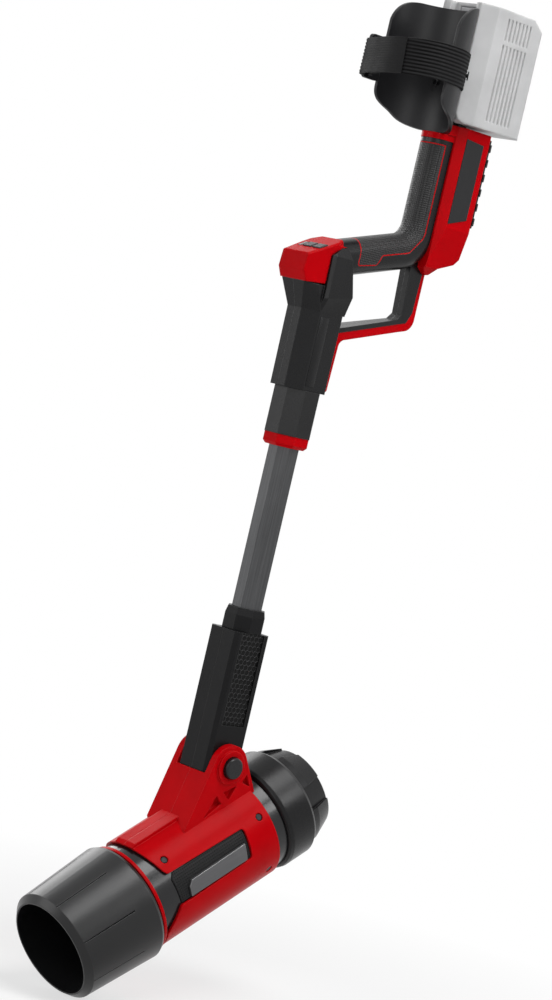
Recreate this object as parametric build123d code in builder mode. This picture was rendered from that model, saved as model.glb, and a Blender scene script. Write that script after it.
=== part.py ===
from build123d import *
import os
from math import cos, radians, sin

os.makedirs("parts", exist_ok=True)

# A long-reach cordless blower, in millimetres. The origin is the middle of the hand grip.
# +X points forward, +Y to the user's left, +Z up along the tube.

# Levels along the tube, from the hinge axis up to the hand grip
ARM_HEIGHT = 134
SOCKET_RISE = 23
TUBE_EXPOSED = 165
COLLAR_HEIGHT = 12
SLEEVE_EXPOSED = 47
NECK_TO_GRIP = 150
GRIP_TO_TUBE = 63

# Clearances
FIT = 0.15
RUNNING_FIT = 0.05
MOVING_GAP = 0.4

# Tube group
TUBE_FLATS = 30
TUBE_WALL = 1.8
TUBE_IN_ARM = 64
TUBE_IN_NECK = 25
SOCKET_FLATS = 40
SOCKET_SPIGOT = 36
SOCKET_TOP_FLATS = 36.5
SOCKET_TAPER = 7
SOCKET_IN_ARM = 24
COLLAR_FLATS = 44.6
SLEEVE_FLATS = 45.6
SLEEVE_SPIGOT = 38
SLEEVE_IN_NECK = 15
CABLE_R = 3.5

# Arm that carries the head
ARM_HALF = 21
ARM_FRONT = 25
ARM_REAR = 22
ARM_HEEL = 9
ARM_CHAMFER = 4
PAD_FRONT = 17
PAD_REAR = -13
PAD_FOOT = 40
PAD_DEPTH = 3
PAD_THICK = 1.6

# Hinge
PIN_R = 8
EAR_GAP = 0.4
EAR_THICK = 7.6
EAR_R = 22.2
BOSS_R = 17
BOSS_RISE = 2.5
BUTTON_R = 11
BUTTON_FLANGE = 0.9
BUTTON_PROUD = 5
BUTTON_TRAVEL = 2.2
BUTTON_SEAT = 3.1
PIVOT_CAP_R = 11
PIVOT_CAP_THICK = 4
SPRING_R = 5
SPRING_WIRE = 0.6
SPRING_TURNS = 3
SPRING_PITCH = 1.5

# Fan head, measured along its own axis from the foot of the hinge axis
HEAD_TILT = 32.5
HEAD_DROP = 86
BARREL_R = 54
BARREL_WALL = 3
BARREL_BACK = -42
NOZZLE_BACK = 141.5
NOZZLE_LENGTH = 95.5
NOZZLE_BACK_R = BARREL_R + 8
NOZZLE_MOUTH_R = BARREL_R + 3
NOZZLE_BORE_R = BARREL_R - 5
NOZZLE_LIP = 1.5
NOZZLE_CHAMFER = 6
NOZZLE_SOCKET = 30
NOZZLE_ROUND = 4.5
SLIT_COUNT = 8
SLIT_LENGTH = 63
SLIT_WIDTH = 1
SLIT_DEPTH = 1.8
RING_WIDTH = 3.5
RING_GAP = 1.5
RING_R = BARREL_R + 4
SHELL_WALL = 3
SHELL_R = BARREL_R + SHELL_WALL
SHELL_REAR = -18
SHELL_FRONT = 133
WINDOW_REAR = 15
WINDOW_TOP = 31
WINDOW_FOOT = -2
WINDOW_ROUND = 4
WEB_SLOPE = 42
WEB_THICK = 6
PAD_HALF = 13
PAD_RISE = 2
GRILLE_THICK = 0.9
BADGE_THICK = 2.4
BELL_FRONT = -32
BELL_BACK = -69
BELL_R = BARREL_R + 5
BELL_LIP = 3.6
GUARD_LENGTH = 30
GUARD_REAR_R = BARREL_R - 11
GUARD_WALL = 3
GUARD_BLOCKS = 5
GUARD_SPOKES = 8
FAN_BLADES = 9
FAN_HUB_R = 22
FAN_TIP_GAP = 0.8
FAN_BACK = -22
FAN_LENGTH = 22
BLADE_THICK = 2.2
POD_R = 23
POD_WALL = 2
POD_FRONT = 82
POD_GAP = 5
POD_VANES = 7
VANE_THICK = 2
MOTOR_LENGTH = 50
SHAFT_R = 2.5
BEARING_R = 8
BEARING_WIDTH = 6
CONE_LENGTH = 70
SCREW_R = 1.5
SCREW_HEAD_R = 3.1
SCREW_HEAD = 2.2
SCREW_WELL = 0.9

# Handle
NECK_HALF = 21
NECK_REAR = 22.6
NECK_FRONT = 29
NECK_FLAT_HALF = 10
NECK_BEVEL_RUN = 16
NECK_REAR_BEVEL = 5
CHEEK_HALF = 27
CHEEK_FRONT = 16
CHEEK_REAR = 15.5
CHEEK_LEAN = 10.5
GRIP_TILT = 15.4
GRIP_WIDE = 34
GRIP_DEEP = 36.8
GRIP_ROUND = 15
GRIP_BEND = 34
GRIP_SKIN = 2
UPRIGHT_X = -53
UPRIGHT_TOP = 128
BAND_HEIGHT = 6
PIPING_WIDTH = 1.2
BAR_HALF = 13
REAR_BAR_HALF = 7
SPINE_INSET = 0.5

# Thumb panel
CAP_HALF = 21
CAP_CAVITY_HALF = 14
CAP_WALL = 2.6
KEY_SIZE = 11
KEY_PITCH = 13.5
KEY_PROUD = 1.2
KEY_TRAVEL = 1.2
KEY_GAP = 0.3
BOARD_THICK = 1.6

# Battery housing, mount and battery
HOUSING_HALF = 27
HOUSING_FRONT = -56
HOUSING_REAR = -98
HOUSING_TOP = 145
HOUSING_WALL = 2.8
HOUSING_NOSE_HALF = 19
LABEL_THICK = 1.6
LABEL_INSET = 0.8
VENT_THICK = 3
VENT_RIDGES = 6
MOUNT_HALF = 17.5
MOUNT_THICK = 4.6
MOUNT_HEIGHT = 100
RAIL_WEB_HALF = 14
RAIL_HEAD_HALF = 19
RAIL_WEB = 6
RAIL_HEAD = 5
RAIL_HEIGHT = 86
BATTERY_LIFT = 3
BATTERY_HALF = 37
BATTERY_DEEP = 79
BATTERY_TALL = 122
BATTERY_CHEEK = 10
BATTERY_CHEEK_HALF = 26
BATTERY_BEVEL = 7
BATTERY_TOE = 9
BATTERY_SLOPE_RUN = 18
BATTERY_SLOPE_DROP = 13
BATTERY_ROUND = 6
GROOVE_COUNT = 7
GROOVE_PITCH = 5.6
GROOVE_WIDTH = 2.4
GROOVE_DEEP = 1.2
GROOVE_TALL = 78
TERMINAL_COUNT = 4
TERMINAL_PITCH = 8
RELEASE_HALF = 11
RELEASE_TALL = 11
RELEASE_TRAVEL = 3

# Forearm cuff and strap
CUFF_X = 4.5
CUFF_R = 49.5
CUFF_WALL = 3.5
CUFF_RIM = 6.5
CUFF_FOOT = 134.4
CUFF_TOP = 260
STRAP_FOOT = 175.5
STRAP_WIDE = 36
STRAP_THICK = 3
STRAP_BULGE = 42
RING_BAR = 4
RING_LONG = 22
WRAP_START = 75
WRAP_END = 142
RIVET_ANGLE = 134
RIVET_R = 2
RIVET_HEAD_R = 4.5
RIVET_HEAD = 1.2

# Places worked out from the sizes
neck_foot = -NECK_TO_GRIP
sleeve_foot = neck_foot - SLEEVE_EXPOSED
collar_foot = sleeve_foot - COLLAR_HEIGHT
socket_top = collar_foot - TUBE_EXPOSED
arm_top = socket_top - SOCKET_RISE
pivot_z = arm_top - ARM_HEIGHT
pivot = Vector(GRIP_TO_TUBE, 0, pivot_z)
nose = Vector(cos(radians(HEAD_TILT)), 0, -sin(radians(HEAD_TILT)))
rise = Vector(sin(radians(HEAD_TILT)), 0, cos(radians(HEAD_TILT)))
foot = pivot - rise * HEAD_DROP
HEAD = Plane(origin=foot, x_dir=nose, z_dir=(0, -1, 0))
HEAD_AXIS = Axis(foot, nose)
ARM = Plane(origin=pivot, x_dir=(1, 0, 0), z_dir=(0, -1, 0))
ear_in = ARM_HALF + EAR_GAP
ear_out = ear_in + EAR_THICK
mouth = NOZZLE_BACK + NOZZLE_LENGTH


def level(z):
    """Horizontal plane on the tube's axis."""
    return Plane((GRIP_TO_TUBE, 0, z))


def across(s):
    """Plane square to the head's axis: local x is left, local y is up."""
    return Plane(origin=foot + nose * s, x_dir=(0, 1, 0), z_dir=nose)


def spoke(s, angle, radius):
    """Plane on a radius of the head: its normal points outwards, local x runs along the head's axis."""
    out = Vector(0, cos(radians(angle)), 0) + rise * sin(radians(angle))
    return Plane(origin=foot + nose * s + out * radius, x_dir=nose, z_dir=out)


def octagon(flats, mode=Mode.ADD):
    RegularPolygon(flats / 2, 8, major_radius=False, rotation=22.5, mode=mode)


def outline(*points, mode=Mode.ADD):
    """Closed face through the points, as they are given."""
    Polygon(*points, align=None, mode=mode)


def save(piece, name):
    piece.part.label = name
    export_step(piece.part, f"parts/{name}.step")


def save_halves(whole, name):
    """Cuts a piece in the mid-plane and writes its left and right halves."""
    for side, keep in (("left", Keep.BOTTOM), ("right", Keep.TOP)):
        with BuildPart() as half:
            add(whole.part)
            split(bisect_by=Plane.XZ, keep=keep)
        save(half, f"{name}_{side}")


def save_pair(left, name):
    """Writes a left piece and its mirror image on the right."""
    save(left, f"{name}_left")
    with BuildPart() as right:
        add(left.part.mirror(Plane.XZ))
    save(right, f"{name}_right")


# Tube: an octagonal pipe held in the arm below and in the handle's neck above
tube_foot = arm_top - TUBE_IN_ARM
tube_head = neck_foot + TUBE_IN_NECK
with BuildPart() as tube:
    with BuildSketch(level(tube_foot)):
        octagon(TUBE_FLATS)
        octagon(TUBE_FLATS - 2 * TUBE_WALL, Mode.SUBTRACT)
    extrude(amount=tube_head - tube_foot)
save(tube, "tube")

# Socket: the collar at the top of the arm, clamped between its halves
with BuildPart() as tube_socket:
    with BuildSketch(level(arm_top - SOCKET_IN_ARM)):
        octagon(SOCKET_SPIGOT)
    extrude(amount=SOCKET_IN_ARM)
    with BuildSketch(level(arm_top)):
        octagon(SOCKET_FLATS)
    extrude(amount=SOCKET_RISE - SOCKET_TAPER)
    with BuildSketch(level(socket_top - SOCKET_TAPER)):
        octagon(SOCKET_FLATS)
    with BuildSketch(level(socket_top)):
        octagon(SOCKET_TOP_FLATS)
    loft(ruled=True)
    with BuildSketch(level(arm_top - SOCKET_IN_ARM)):
        octagon(TUBE_FLATS + 2 * FIT)
    extrude(amount=SOCKET_IN_ARM + SOCKET_RISE, mode=Mode.SUBTRACT)
save(tube_socket, "tube_socket")

# Red collar between the tube and the sleeve
with BuildPart() as tube_collar:
    with BuildSketch(level(collar_foot)):
        octagon(COLLAR_FLATS)
    extrude(amount=COLLAR_HEIGHT)
    chamfer(tube_collar.edges().group_by(Axis.Z)[0], COLLAR_HEIGHT / 4)
    with BuildSketch(level(collar_foot)):
        octagon(TUBE_FLATS + 2 * FIT)
    extrude(amount=COLLAR_HEIGHT, mode=Mode.SUBTRACT)
save(tube_collar, "tube_collar")

# Sleeve: guides the tube into the neck
sleeve_head = neck_foot + SLEEVE_IN_NECK
with BuildPart() as sleeve:
    with BuildSketch(level(sleeve_foot)):
        octagon(SLEEVE_FLATS)
    extrude(amount=SLEEVE_EXPOSED)
    with BuildSketch(level(neck_foot)):
        octagon(SLEEVE_SPIGOT)
    extrude(amount=SLEEVE_IN_NECK)
    with BuildSketch(level(sleeve_foot)):
        octagon(TUBE_FLATS + 2 * FIT)
    extrude(amount=sleeve_head - sleeve_foot, mode=Mode.SUBTRACT)
save(sleeve, "sleeve")

# Power cable, down the middle of the tube into the arm
CABLE_FOOT = 26
cable_end = tube_head + 4
with BuildPart() as power_cable:
    with BuildSketch(level(pivot_z + CABLE_FOOT)):
        Circle(CABLE_R)
    extrude(amount=cable_end - pivot_z - CABLE_FOOT)
save(power_cable, "power_cable")

# Arm: two halves that clamp the socket and the tube, and turn on the hinge pin
ARM_SCREW_OUT = 13
ARM_SCREW_LOW = 31
ARM_SCREW_HIGH = ARM_HEIGHT - TUBE_IN_ARM - 12
arm_screw_spots = [
    (-ARM_SCREW_OUT, ARM_SCREW_LOW),
    (ARM_SCREW_OUT, ARM_SCREW_LOW),
    (-ARM_SCREW_OUT + 4, ARM_SCREW_HIGH),
    (ARM_SCREW_OUT - 4, ARM_SCREW_HIGH),
]
ARM_SCREW_END = 10
with BuildPart() as arm:
    with BuildSketch(ARM):
        with BuildLine():
            heel_x = (ARM_REAR**2 - ARM_HEEL**2) ** 0.5
            heel = Line((ARM_FRONT, -ARM_HEEL), (heel_x, -ARM_HEEL))
            belly = ThreePointArc(heel @ 1, (0, -ARM_REAR), (-ARM_REAR, 0))
            Polyline(belly @ 1, (-ARM_REAR, ARM_HEIGHT), (ARM_FRONT, ARM_HEIGHT), heel @ 0)
        make_face()
    extrude(amount=ARM_HALF, both=True)
    chamfer(
        arm.edges().filter_by(Axis.Z).group_by(Axis.X)[-1] + arm.edges().filter_by(Axis.Z).group_by(Axis.X)[0],
        ARM_CHAMFER,
    )
    for sign in (1, -1):
        with BuildSketch(Plane(origin=pivot + (0, sign * ARM_HALF, 0), x_dir=(1, 0, 0), z_dir=(0, -1, 0))):
            with Locations(((PAD_FRONT + PAD_REAR) / 2, (PAD_FOOT + ARM_HEIGHT) / 2)):
                Rectangle(PAD_FRONT - PAD_REAR, ARM_HEIGHT - PAD_FOOT)
        extrude(amount=sign * PAD_DEPTH, mode=Mode.SUBTRACT)
    with BuildSketch(level(tube_foot)):
        octagon(TUBE_FLATS + 2 * FIT)
    extrude(amount=TUBE_IN_ARM, mode=Mode.SUBTRACT)
    with BuildSketch(level(arm_top - SOCKET_IN_ARM)):
        octagon(SOCKET_SPIGOT)
    extrude(amount=SOCKET_IN_ARM, mode=Mode.SUBTRACT)
    with BuildSketch(level(pivot_z + CABLE_FOOT)):
        Circle(CABLE_R + FIT)
    extrude(amount=tube_foot - pivot_z - CABLE_FOOT, mode=Mode.SUBTRACT)
    with BuildSketch(ARM):
        Circle(PIN_R)
    extrude(amount=ARM_HALF, both=True, mode=Mode.SUBTRACT)
    with BuildSketch(Plane(origin=pivot - (0, ARM_HALF, 0), x_dir=(1, 0, 0), z_dir=(0, 1, 0))):
        with Locations(*[(x, -z) for x, z in arm_screw_spots]):
            Circle(SCREW_HEAD_R + FIT)
    extrude(amount=PAD_DEPTH + SCREW_HEAD + FIT, mode=Mode.SUBTRACT)
    with BuildSketch(Plane(origin=pivot - (0, ARM_HALF, 0), x_dir=(1, 0, 0), z_dir=(0, 1, 0))):
        with Locations(*[(x, -z) for x, z in arm_screw_spots]):
            Circle(SCREW_R + FIT)
    extrude(amount=ARM_HALF + ARM_SCREW_END, mode=Mode.SUBTRACT)
save_halves(arm, "arm")

PAD_SEAT = Plane(origin=pivot - (0, ARM_HALF - PAD_DEPTH - FIT, 0), x_dir=(1, 0, 0), z_dir=(0, 1, 0))
with BuildPart() as arm_screws:
    with BuildSketch(PAD_SEAT):
        with Locations(*[(x, -z) for x, z in arm_screw_spots]):
            Circle(SCREW_HEAD_R)
    extrude(amount=SCREW_HEAD)
    with BuildSketch(PAD_SEAT):
        with Locations(*[(x, -z) for x, z in arm_screw_spots]):
            Circle(SCREW_R)
    extrude(amount=ARM_HALF - PAD_DEPTH + ARM_SCREW_END - 1)
save(arm_screws, "arm_screws")

# Pads: textured panels let into the arm's sides
with BuildPart() as arm_pad:
    with BuildSketch(Plane(origin=pivot + (0, ARM_HALF - PAD_DEPTH, 0), x_dir=(1, 0, 0), z_dir=(0, -1, 0))):
        with Locations(((PAD_FRONT + PAD_REAR) / 2, (PAD_FOOT + ARM_HEIGHT) / 2)):
            Rectangle(PAD_FRONT - PAD_REAR - 2 * FIT, ARM_HEIGHT - PAD_FOOT - 2 * FIT)
    extrude(amount=-PAD_THICK)
save_pair(arm_pad, "arm_pad")

# Hinge pin through both ears and the arm, with a fixed cap on the right
step_y = ear_in + BUTTON_SEAT
with BuildPart() as hinge_pin:
    with BuildSketch(Plane(origin=pivot - (0, ear_out, 0), x_dir=(1, 0, 0), z_dir=(0, 1, 0))):
        Circle(PIN_R - RUNNING_FIT)
    extrude(amount=ear_out + step_y)
save(hinge_pin, "hinge_pin")

with BuildPart() as pivot_cap:
    with BuildSketch(Plane(origin=pivot - (0, ear_out + BOSS_RISE, 0), x_dir=(1, 0, 0), z_dir=(0, -1, 0))):
        Circle(PIVOT_CAP_R)
    extrude(amount=PIVOT_CAP_THICK)
    fillet(pivot_cap.edges().group_by(Axis.Y)[0], PIVOT_CAP_THICK / 3)
    with BuildSketch(Plane(origin=pivot - (0, ear_out + BOSS_RISE, 0), x_dir=(1, 0, 0), z_dir=(0, 1, 0))):
        Circle(PIN_R - FIT)
    extrude(amount=BOSS_RISE)
save(pivot_cap, "pivot_cap")

# Pivot button: a cup that slides in the left ear, kept in by its flange
button_top = ear_out + BOSS_RISE + BUTTON_PROUD
flange_foot = step_y + BUTTON_TRAVEL + MOVING_GAP
flange_head = ear_out - 0.4
lip_y = flange_head + MOVING_GAP
CUP_WALL = 2
with BuildPart() as pivot_button:
    with BuildSketch(Plane(origin=pivot + (0, flange_foot, 0), x_dir=(1, 0, 0), z_dir=(0, 1, 0))):
        Circle(BUTTON_R + BUTTON_FLANGE)
    extrude(amount=flange_head - flange_foot)
    with BuildSketch(Plane(origin=pivot + (0, flange_foot, 0), x_dir=(1, 0, 0), z_dir=(0, 1, 0))):
        Circle(BUTTON_R)
    extrude(amount=button_top - flange_foot)
    fillet(pivot_button.edges().group_by(Axis.Y)[-1], CUP_WALL)
    with BuildSketch(Plane(origin=pivot + (0, flange_foot, 0), x_dir=(1, 0, 0), z_dir=(0, 1, 0))):
        Circle(BUTTON_R - CUP_WALL)
    extrude(amount=button_top - flange_foot - 2 * CUP_WALL, mode=Mode.SUBTRACT)
save(pivot_button, "pivot_button")

# Spring on the pin's end, drawn at its pressed length
with BuildPart() as pivot_spring:
    with BuildLine():
        coil = Helix(
            pitch=SPRING_PITCH,
            height=SPRING_PITCH * SPRING_TURNS,
            radius=SPRING_R,
            center=pivot + (0, step_y + SPRING_WIRE + RUNNING_FIT, 0),
            direction=(0, 1, 0),
        )
    with BuildSketch(Plane(origin=coil @ 0, z_dir=coil % 0)):
        Circle(SPRING_WIRE)
    sweep()
save(pivot_spring, "pivot_spring")

# Nozzle: a soft outlet pushed over the barrel's front end, with thin slits along its outside
shoulder = NOZZLE_BACK + NOZZLE_SOCKET
lip_r = NOZZLE_BORE_R + NOZZLE_LIP
slit_mid = NOZZLE_MOUTH_R - SLIT_DEPTH + NOZZLE_BACK_R / 2
with BuildPart() as nozzle:
    with BuildSketch(HEAD):
        outline(
            (NOZZLE_BACK, BARREL_R + FIT),
            (NOZZLE_BACK, NOZZLE_BACK_R - NOZZLE_ROUND * 0.8),
            (NOZZLE_BACK + NOZZLE_ROUND * 0.35, NOZZLE_BACK_R - NOZZLE_ROUND * 0.3),
            (NOZZLE_BACK + NOZZLE_ROUND, NOZZLE_BACK_R),
            (mouth - NOZZLE_CHAMFER, NOZZLE_MOUTH_R),
            (mouth, lip_r),
            (mouth, NOZZLE_BORE_R),
            (shoulder, NOZZLE_BORE_R),
            (shoulder, BARREL_R + FIT),
        )
    revolve(axis=HEAD_AXIS)
    with BuildSketch(across(mouth - NOZZLE_CHAMFER)):
        with PolarLocations(slit_mid, SLIT_COUNT, start_angle=180 / SLIT_COUNT):
            Rectangle(NOZZLE_BACK_R, SLIT_WIDTH)
    extrude(amount=-SLIT_LENGTH, mode=Mode.SUBTRACT)
save(nozzle, "nozzle")

# Thin red ring behind the nozzle
ring_front = NOZZLE_BACK - RING_GAP
with BuildPart() as nozzle_ring:
    with BuildSketch(HEAD):
        outline(
            (ring_front - RING_WIDTH, BARREL_R + FIT),
            (ring_front - RING_WIDTH, RING_R),
            (ring_front, RING_R),
            (ring_front, BARREL_R + FIT),
        )
    revolve(axis=HEAD_AXIS)
save(nozzle_ring, "nozzle_ring")

# Screws of the head: radial, three a side, through the red shell into the barrel
screw_spots = [(109, 48), (-7, 32), (-5, -32)]
screw_places = [(s, a) for s, a in screw_spots] + [(s, 180 - a) for s, a in screw_spots]

# Barrel: the duct that everything in the head is fixed to
barrel_bore = BARREL_R - BARREL_WALL
barrel_front = shoulder - FIT
with BuildPart() as barrel:
    with BuildSketch(HEAD):
        outline(
            (BARREL_BACK, barrel_bore),
            (BARREL_BACK, BARREL_R),
            (barrel_front, BARREL_R),
            (barrel_front, barrel_bore),
        )
    revolve(axis=HEAD_AXIS)
    for s, angle in screw_places:
        with BuildSketch(spoke(s, angle, barrel_bore - 1)):
            Circle(SCREW_R)
        extrude(amount=BARREL_WALL + 2, mode=Mode.SUBTRACT)
save(barrel, "barrel")

with BuildPart() as head_screws:
    for s, angle in screw_places:
        with BuildSketch(spoke(s, angle, barrel_bore + 0.3)):
            Circle(SCREW_R - RUNNING_FIT)
        extrude(amount=BARREL_WALL + 0.6)
        with BuildSketch(spoke(s, angle, BARREL_R + 0.5)):
            Circle(SCREW_HEAD_R)
        extrude(amount=SCREW_HEAD - 0.4)
save(head_screws, "head_screws")

# Red head shell: a saddle round the barrel with the fork that holds the arm
web_out = Vector(sin(radians(WEB_SLOPE)), cos(radians(WEB_SLOPE)))
web_run = Vector(cos(radians(WEB_SLOPE)), -sin(radians(WEB_SLOPE)))
hub = Vector(0, HEAD_DROP)
ear_top = hub + web_out * EAR_R
WEB_REACH = 76
web_toe = ear_top + web_run * WEB_REACH
web_back = ear_top - web_out * WEB_THICK
EAR_ROOT = 38
truss = [
    [(24, 66), (21, 55), (46, 51)],
    [(15, 65), (-3, 63), (11, 54)],
    [(-10, 63), (-18, 68), (-18, 54)],
]
TRUSS_DEEP = 5
SHELL_EDGE = 60
with BuildPart() as head_shell:
    with BuildSketch(HEAD):
        outline(
            (ear_top.X, ear_top.Y),
            (web_toe.X, web_toe.Y),
            (web_toe.X, EAR_ROOT),
            (-EAR_R, EAR_ROOT),
            (-EAR_R, HEAD_DROP),
        )
        with Locations(hub):
            Circle(EAR_R)
    extrude(amount=ear_out, both=True)
    with BuildSketch(HEAD):
        with Locations(hub):
            Circle(ARM_REAR + MOVING_GAP)
        outline(
            (web_back.X, web_back.Y),
            ((web_back + web_run * WEB_REACH).X, (web_back + web_run * WEB_REACH).Y),
            (-2 * EAR_R, EAR_ROOT),
            (-2 * EAR_R, HEAD_DROP + 2 * EAR_R),
            (web_back.X, HEAD_DROP + 2 * EAR_R),
        )
    extrude(amount=ear_in, both=True, mode=Mode.SUBTRACT)
    with BuildSketch(ARM):
        with Locations((0, ARM_HEIGHT / 2 - ARM_HEEL - MOVING_GAP)):
            Rectangle(4 * ARM_FRONT, ARM_HEIGHT)
    extrude(amount=ear_in, both=True, mode=Mode.SUBTRACT)
    for sign in (1, -1):
        with BuildSketch(Plane(origin=foot + (0, sign * ear_out, 0), x_dir=nose, z_dir=(0, -1, 0))):
            for corners in truss:
                outline(*corners)
        extrude(amount=sign * TRUSS_DEEP, mode=Mode.SUBTRACT)
        with BuildSketch(Plane(origin=pivot + (0, sign * ear_out, 0), x_dir=nose, z_dir=(0, -1, 0))):
            Circle(BOSS_R)
        extrude(amount=-sign * BOSS_RISE)
    with BuildSketch(HEAD):
        outline(
            (SHELL_REAR, BARREL_R - 1),
            (SHELL_REAR, SHELL_R),
            (SHELL_FRONT, SHELL_R),
            (SHELL_FRONT, BARREL_R - 1),
        )
    revolve(axis=HEAD_AXIS)
    with BuildSketch(HEAD):
        outline(
            (web_toe.X - 12, EAR_ROOT),
            (web_toe.X - 12, SHELL_R + PAD_RISE),
            (SHELL_FRONT - 12, SHELL_R + PAD_RISE),
            (SHELL_FRONT - 7, SHELL_R),
            (SHELL_FRONT - 7, EAR_ROOT),
        )
    extrude(amount=PAD_HALF, both=True)
    with BuildSketch(across(SHELL_REAR - SHELL_EDGE)):
        Circle(BARREL_R + FIT)
    extrude(amount=SHELL_FRONT - SHELL_REAR + 2 * SHELL_EDGE, mode=Mode.SUBTRACT)
    with BuildSketch(HEAD) as window:
        outline(
            (WINDOW_REAR, WINDOW_TOP - 1),
            (SHELL_FRONT - 17, WINDOW_TOP + 1),
            (SHELL_FRONT - 6, SHELL_EDGE),
            (SHELL_FRONT - 6, SHELL_EDGE + 10),
            (SHELL_FRONT + 10, SHELL_EDGE + 10),
            (SHELL_FRONT + 10, WINDOW_FOOT - 24),
            (SHELL_FRONT, WINDOW_FOOT - 24),
            (SHELL_FRONT - 19, WINDOW_FOOT),
            (WINDOW_REAR + 3, WINDOW_FOOT + 1),
        )
        fillet(window.vertices(), WINDOW_ROUND)
    extrude(amount=2 * SHELL_R, both=True, mode=Mode.SUBTRACT)
    with BuildSketch(ARM):
        Circle(PIN_R)
    extrude(amount=2 * ear_out, both=True, mode=Mode.SUBTRACT)
    with BuildSketch(Plane(origin=pivot + (0, step_y, 0), x_dir=(1, 0, 0), z_dir=(0, 1, 0))):
        Circle(BUTTON_R + BUTTON_FLANGE + MOVING_GAP)
    extrude(amount=lip_y - step_y, mode=Mode.SUBTRACT)
    with BuildSketch(Plane(origin=pivot + (0, step_y, 0), x_dir=(1, 0, 0), z_dir=(0, 1, 0))):
        Circle(BUTTON_R + MOVING_GAP)
    extrude(amount=2 * BOSS_RISE + EAR_THICK, mode=Mode.SUBTRACT)
    for s, angle in screw_places:
        with BuildSketch(spoke(s, angle, BARREL_R - 1)):
            Circle(SCREW_HEAD_R + SCREW_WELL)
        extrude(amount=SHELL_R - BARREL_R + 4, mode=Mode.SUBTRACT)
save_halves(head_shell, "head_shell")

# Side grilles and bare badges on the barrel, behind the shell's windows
grille_r = BARREL_R + FIT + GRILLE_THICK
with BuildPart() as side_grille:
    with BuildSketch(HEAD):
        outline(
            (WINDOW_REAR, BARREL_R + FIT),
            (WINDOW_REAR, grille_r),
            (SHELL_FRONT, grille_r),
            (SHELL_FRONT, BARREL_R + FIT),
        )
    revolve(axis=HEAD_AXIS)
    with BuildSketch(HEAD):
        outline(
            (WINDOW_REAR + 2, WINDOW_TOP - 2),
            (SHELL_FRONT - 24, WINDOW_TOP - 1),
            (SHELL_FRONT - 20, WINDOW_TOP - 6),
            (SHELL_FRONT - 21, WINDOW_FOOT + 1.5),
            (WINDOW_REAR + 4, WINDOW_FOOT + 2),
        )
    extrude(amount=-2 * SHELL_R, mode=Mode.INTERSECT)
save_pair(side_grille, "side_grille")

badge_r = grille_r + BADGE_THICK
BADGE_REAR = 22
BADGE_FRONT = 100
BADGE_TALL = 16
with BuildPart() as badge:
    with BuildSketch(HEAD):
        outline(
            (BADGE_REAR, grille_r),
            (BADGE_REAR, badge_r),
            (BADGE_FRONT, badge_r),
            (BADGE_FRONT, grille_r),
        )
    revolve(axis=HEAD_AXIS)
    with BuildSketch(HEAD):
        outline(
            (BADGE_REAR, BADGE_TALL + 1),
            (BADGE_FRONT - 6, BADGE_TALL),
            (BADGE_FRONT - 1, BADGE_TALL - 5),
            (BADGE_FRONT, 1),
            (BADGE_REAR + 3, 1),
        )
    extrude(amount=-2 * SHELL_R, mode=Mode.INTERSECT)
save_pair(badge, "badge")

# Intake bell over the barrel's rear end
with BuildPart() as intake_bell:
    with BuildSketch(HEAD):
        outline(
            (BELL_FRONT, BARREL_R + FIT),
            (BELL_FRONT, BELL_R - BELL_LIP),
            (BELL_FRONT - BELL_LIP * 0.4, BELL_R - BELL_LIP * 0.3),
            (BELL_FRONT - BELL_LIP * 1.4, BELL_R),
            (BELL_BACK + BELL_LIP, BELL_R),
            (BELL_BACK, BELL_R - BELL_LIP * 0.7),
            (BELL_BACK, barrel_bore + 1),
            (BARREL_BACK - FIT, barrel_bore),
            (BARREL_BACK - FIT, BARREL_R + FIT),
        )
    revolve(axis=HEAD_AXIS)
save(intake_bell, "intake_bell")

# Intake guard: a tapering cage with raised blocks round it and a grille at the back
guard_back = BELL_BACK - GUARD_LENGTH
spoke_end = GUARD_REAR_R - GUARD_WALL / 5
GUARD_RINGS = 4
ring_step = (GUARD_REAR_R - GUARD_WALL) / (GUARD_RINGS + 1)
GUARD_BAR = 2
GUARD_BLOCK_RISE = 4
GUARD_SLOT_WIDE = 25
GUARD_SLOT_TURN = 18
with BuildPart() as guard_blocks:
    with BuildSketch(HEAD):
        outline(
            (BELL_BACK, barrel_bore - GUARD_WALL / 2),
            (BELL_BACK, barrel_bore + GUARD_BLOCK_RISE),
            (BELL_BACK - GUARD_LENGTH * 0.3, barrel_bore + GUARD_BLOCK_RISE - 1.5),
            (guard_back + GUARD_LENGTH * 0.12, GUARD_REAR_R + GUARD_BLOCK_RISE - 0.5),
            (guard_back, GUARD_REAR_R + GUARD_BLOCK_RISE / 2),
            (guard_back, GUARD_REAR_R - GUARD_WALL / 2),
        )
    revolve(axis=HEAD_AXIS)
    with BuildSketch(across(guard_back - 1)):
        with PolarLocations(BELL_R, GUARD_BLOCKS, start_angle=GUARD_SLOT_TURN):
            Rectangle(BELL_R, GUARD_SLOT_WIDE)
    extrude(amount=GUARD_LENGTH + 2, mode=Mode.SUBTRACT)

with BuildPart() as intake_guard:
    with BuildSketch(HEAD):
        outline(
            (BELL_BACK, barrel_bore - GUARD_WALL + 1),
            (BELL_BACK, barrel_bore + 1),
            (guard_back, GUARD_REAR_R),
            (guard_back, GUARD_REAR_R - GUARD_WALL),
        )
    revolve(axis=HEAD_AXIS)
    add(guard_blocks.part)
    with BuildSketch(across(guard_back)):
        for k in range(GUARD_RINGS, 0, -1):
            Circle(k * ring_step + GUARD_BAR / 2)
            Circle(k * ring_step - GUARD_BAR / 2, mode=Mode.SUBTRACT)
        with PolarLocations((spoke_end + ring_step) / 2, GUARD_SPOKES, start_angle=180 / GUARD_SPOKES):
            Rectangle(spoke_end - ring_step, GUARD_BAR)
    extrude(amount=GUARD_WALL)
save(intake_guard, "intake_guard")

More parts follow.
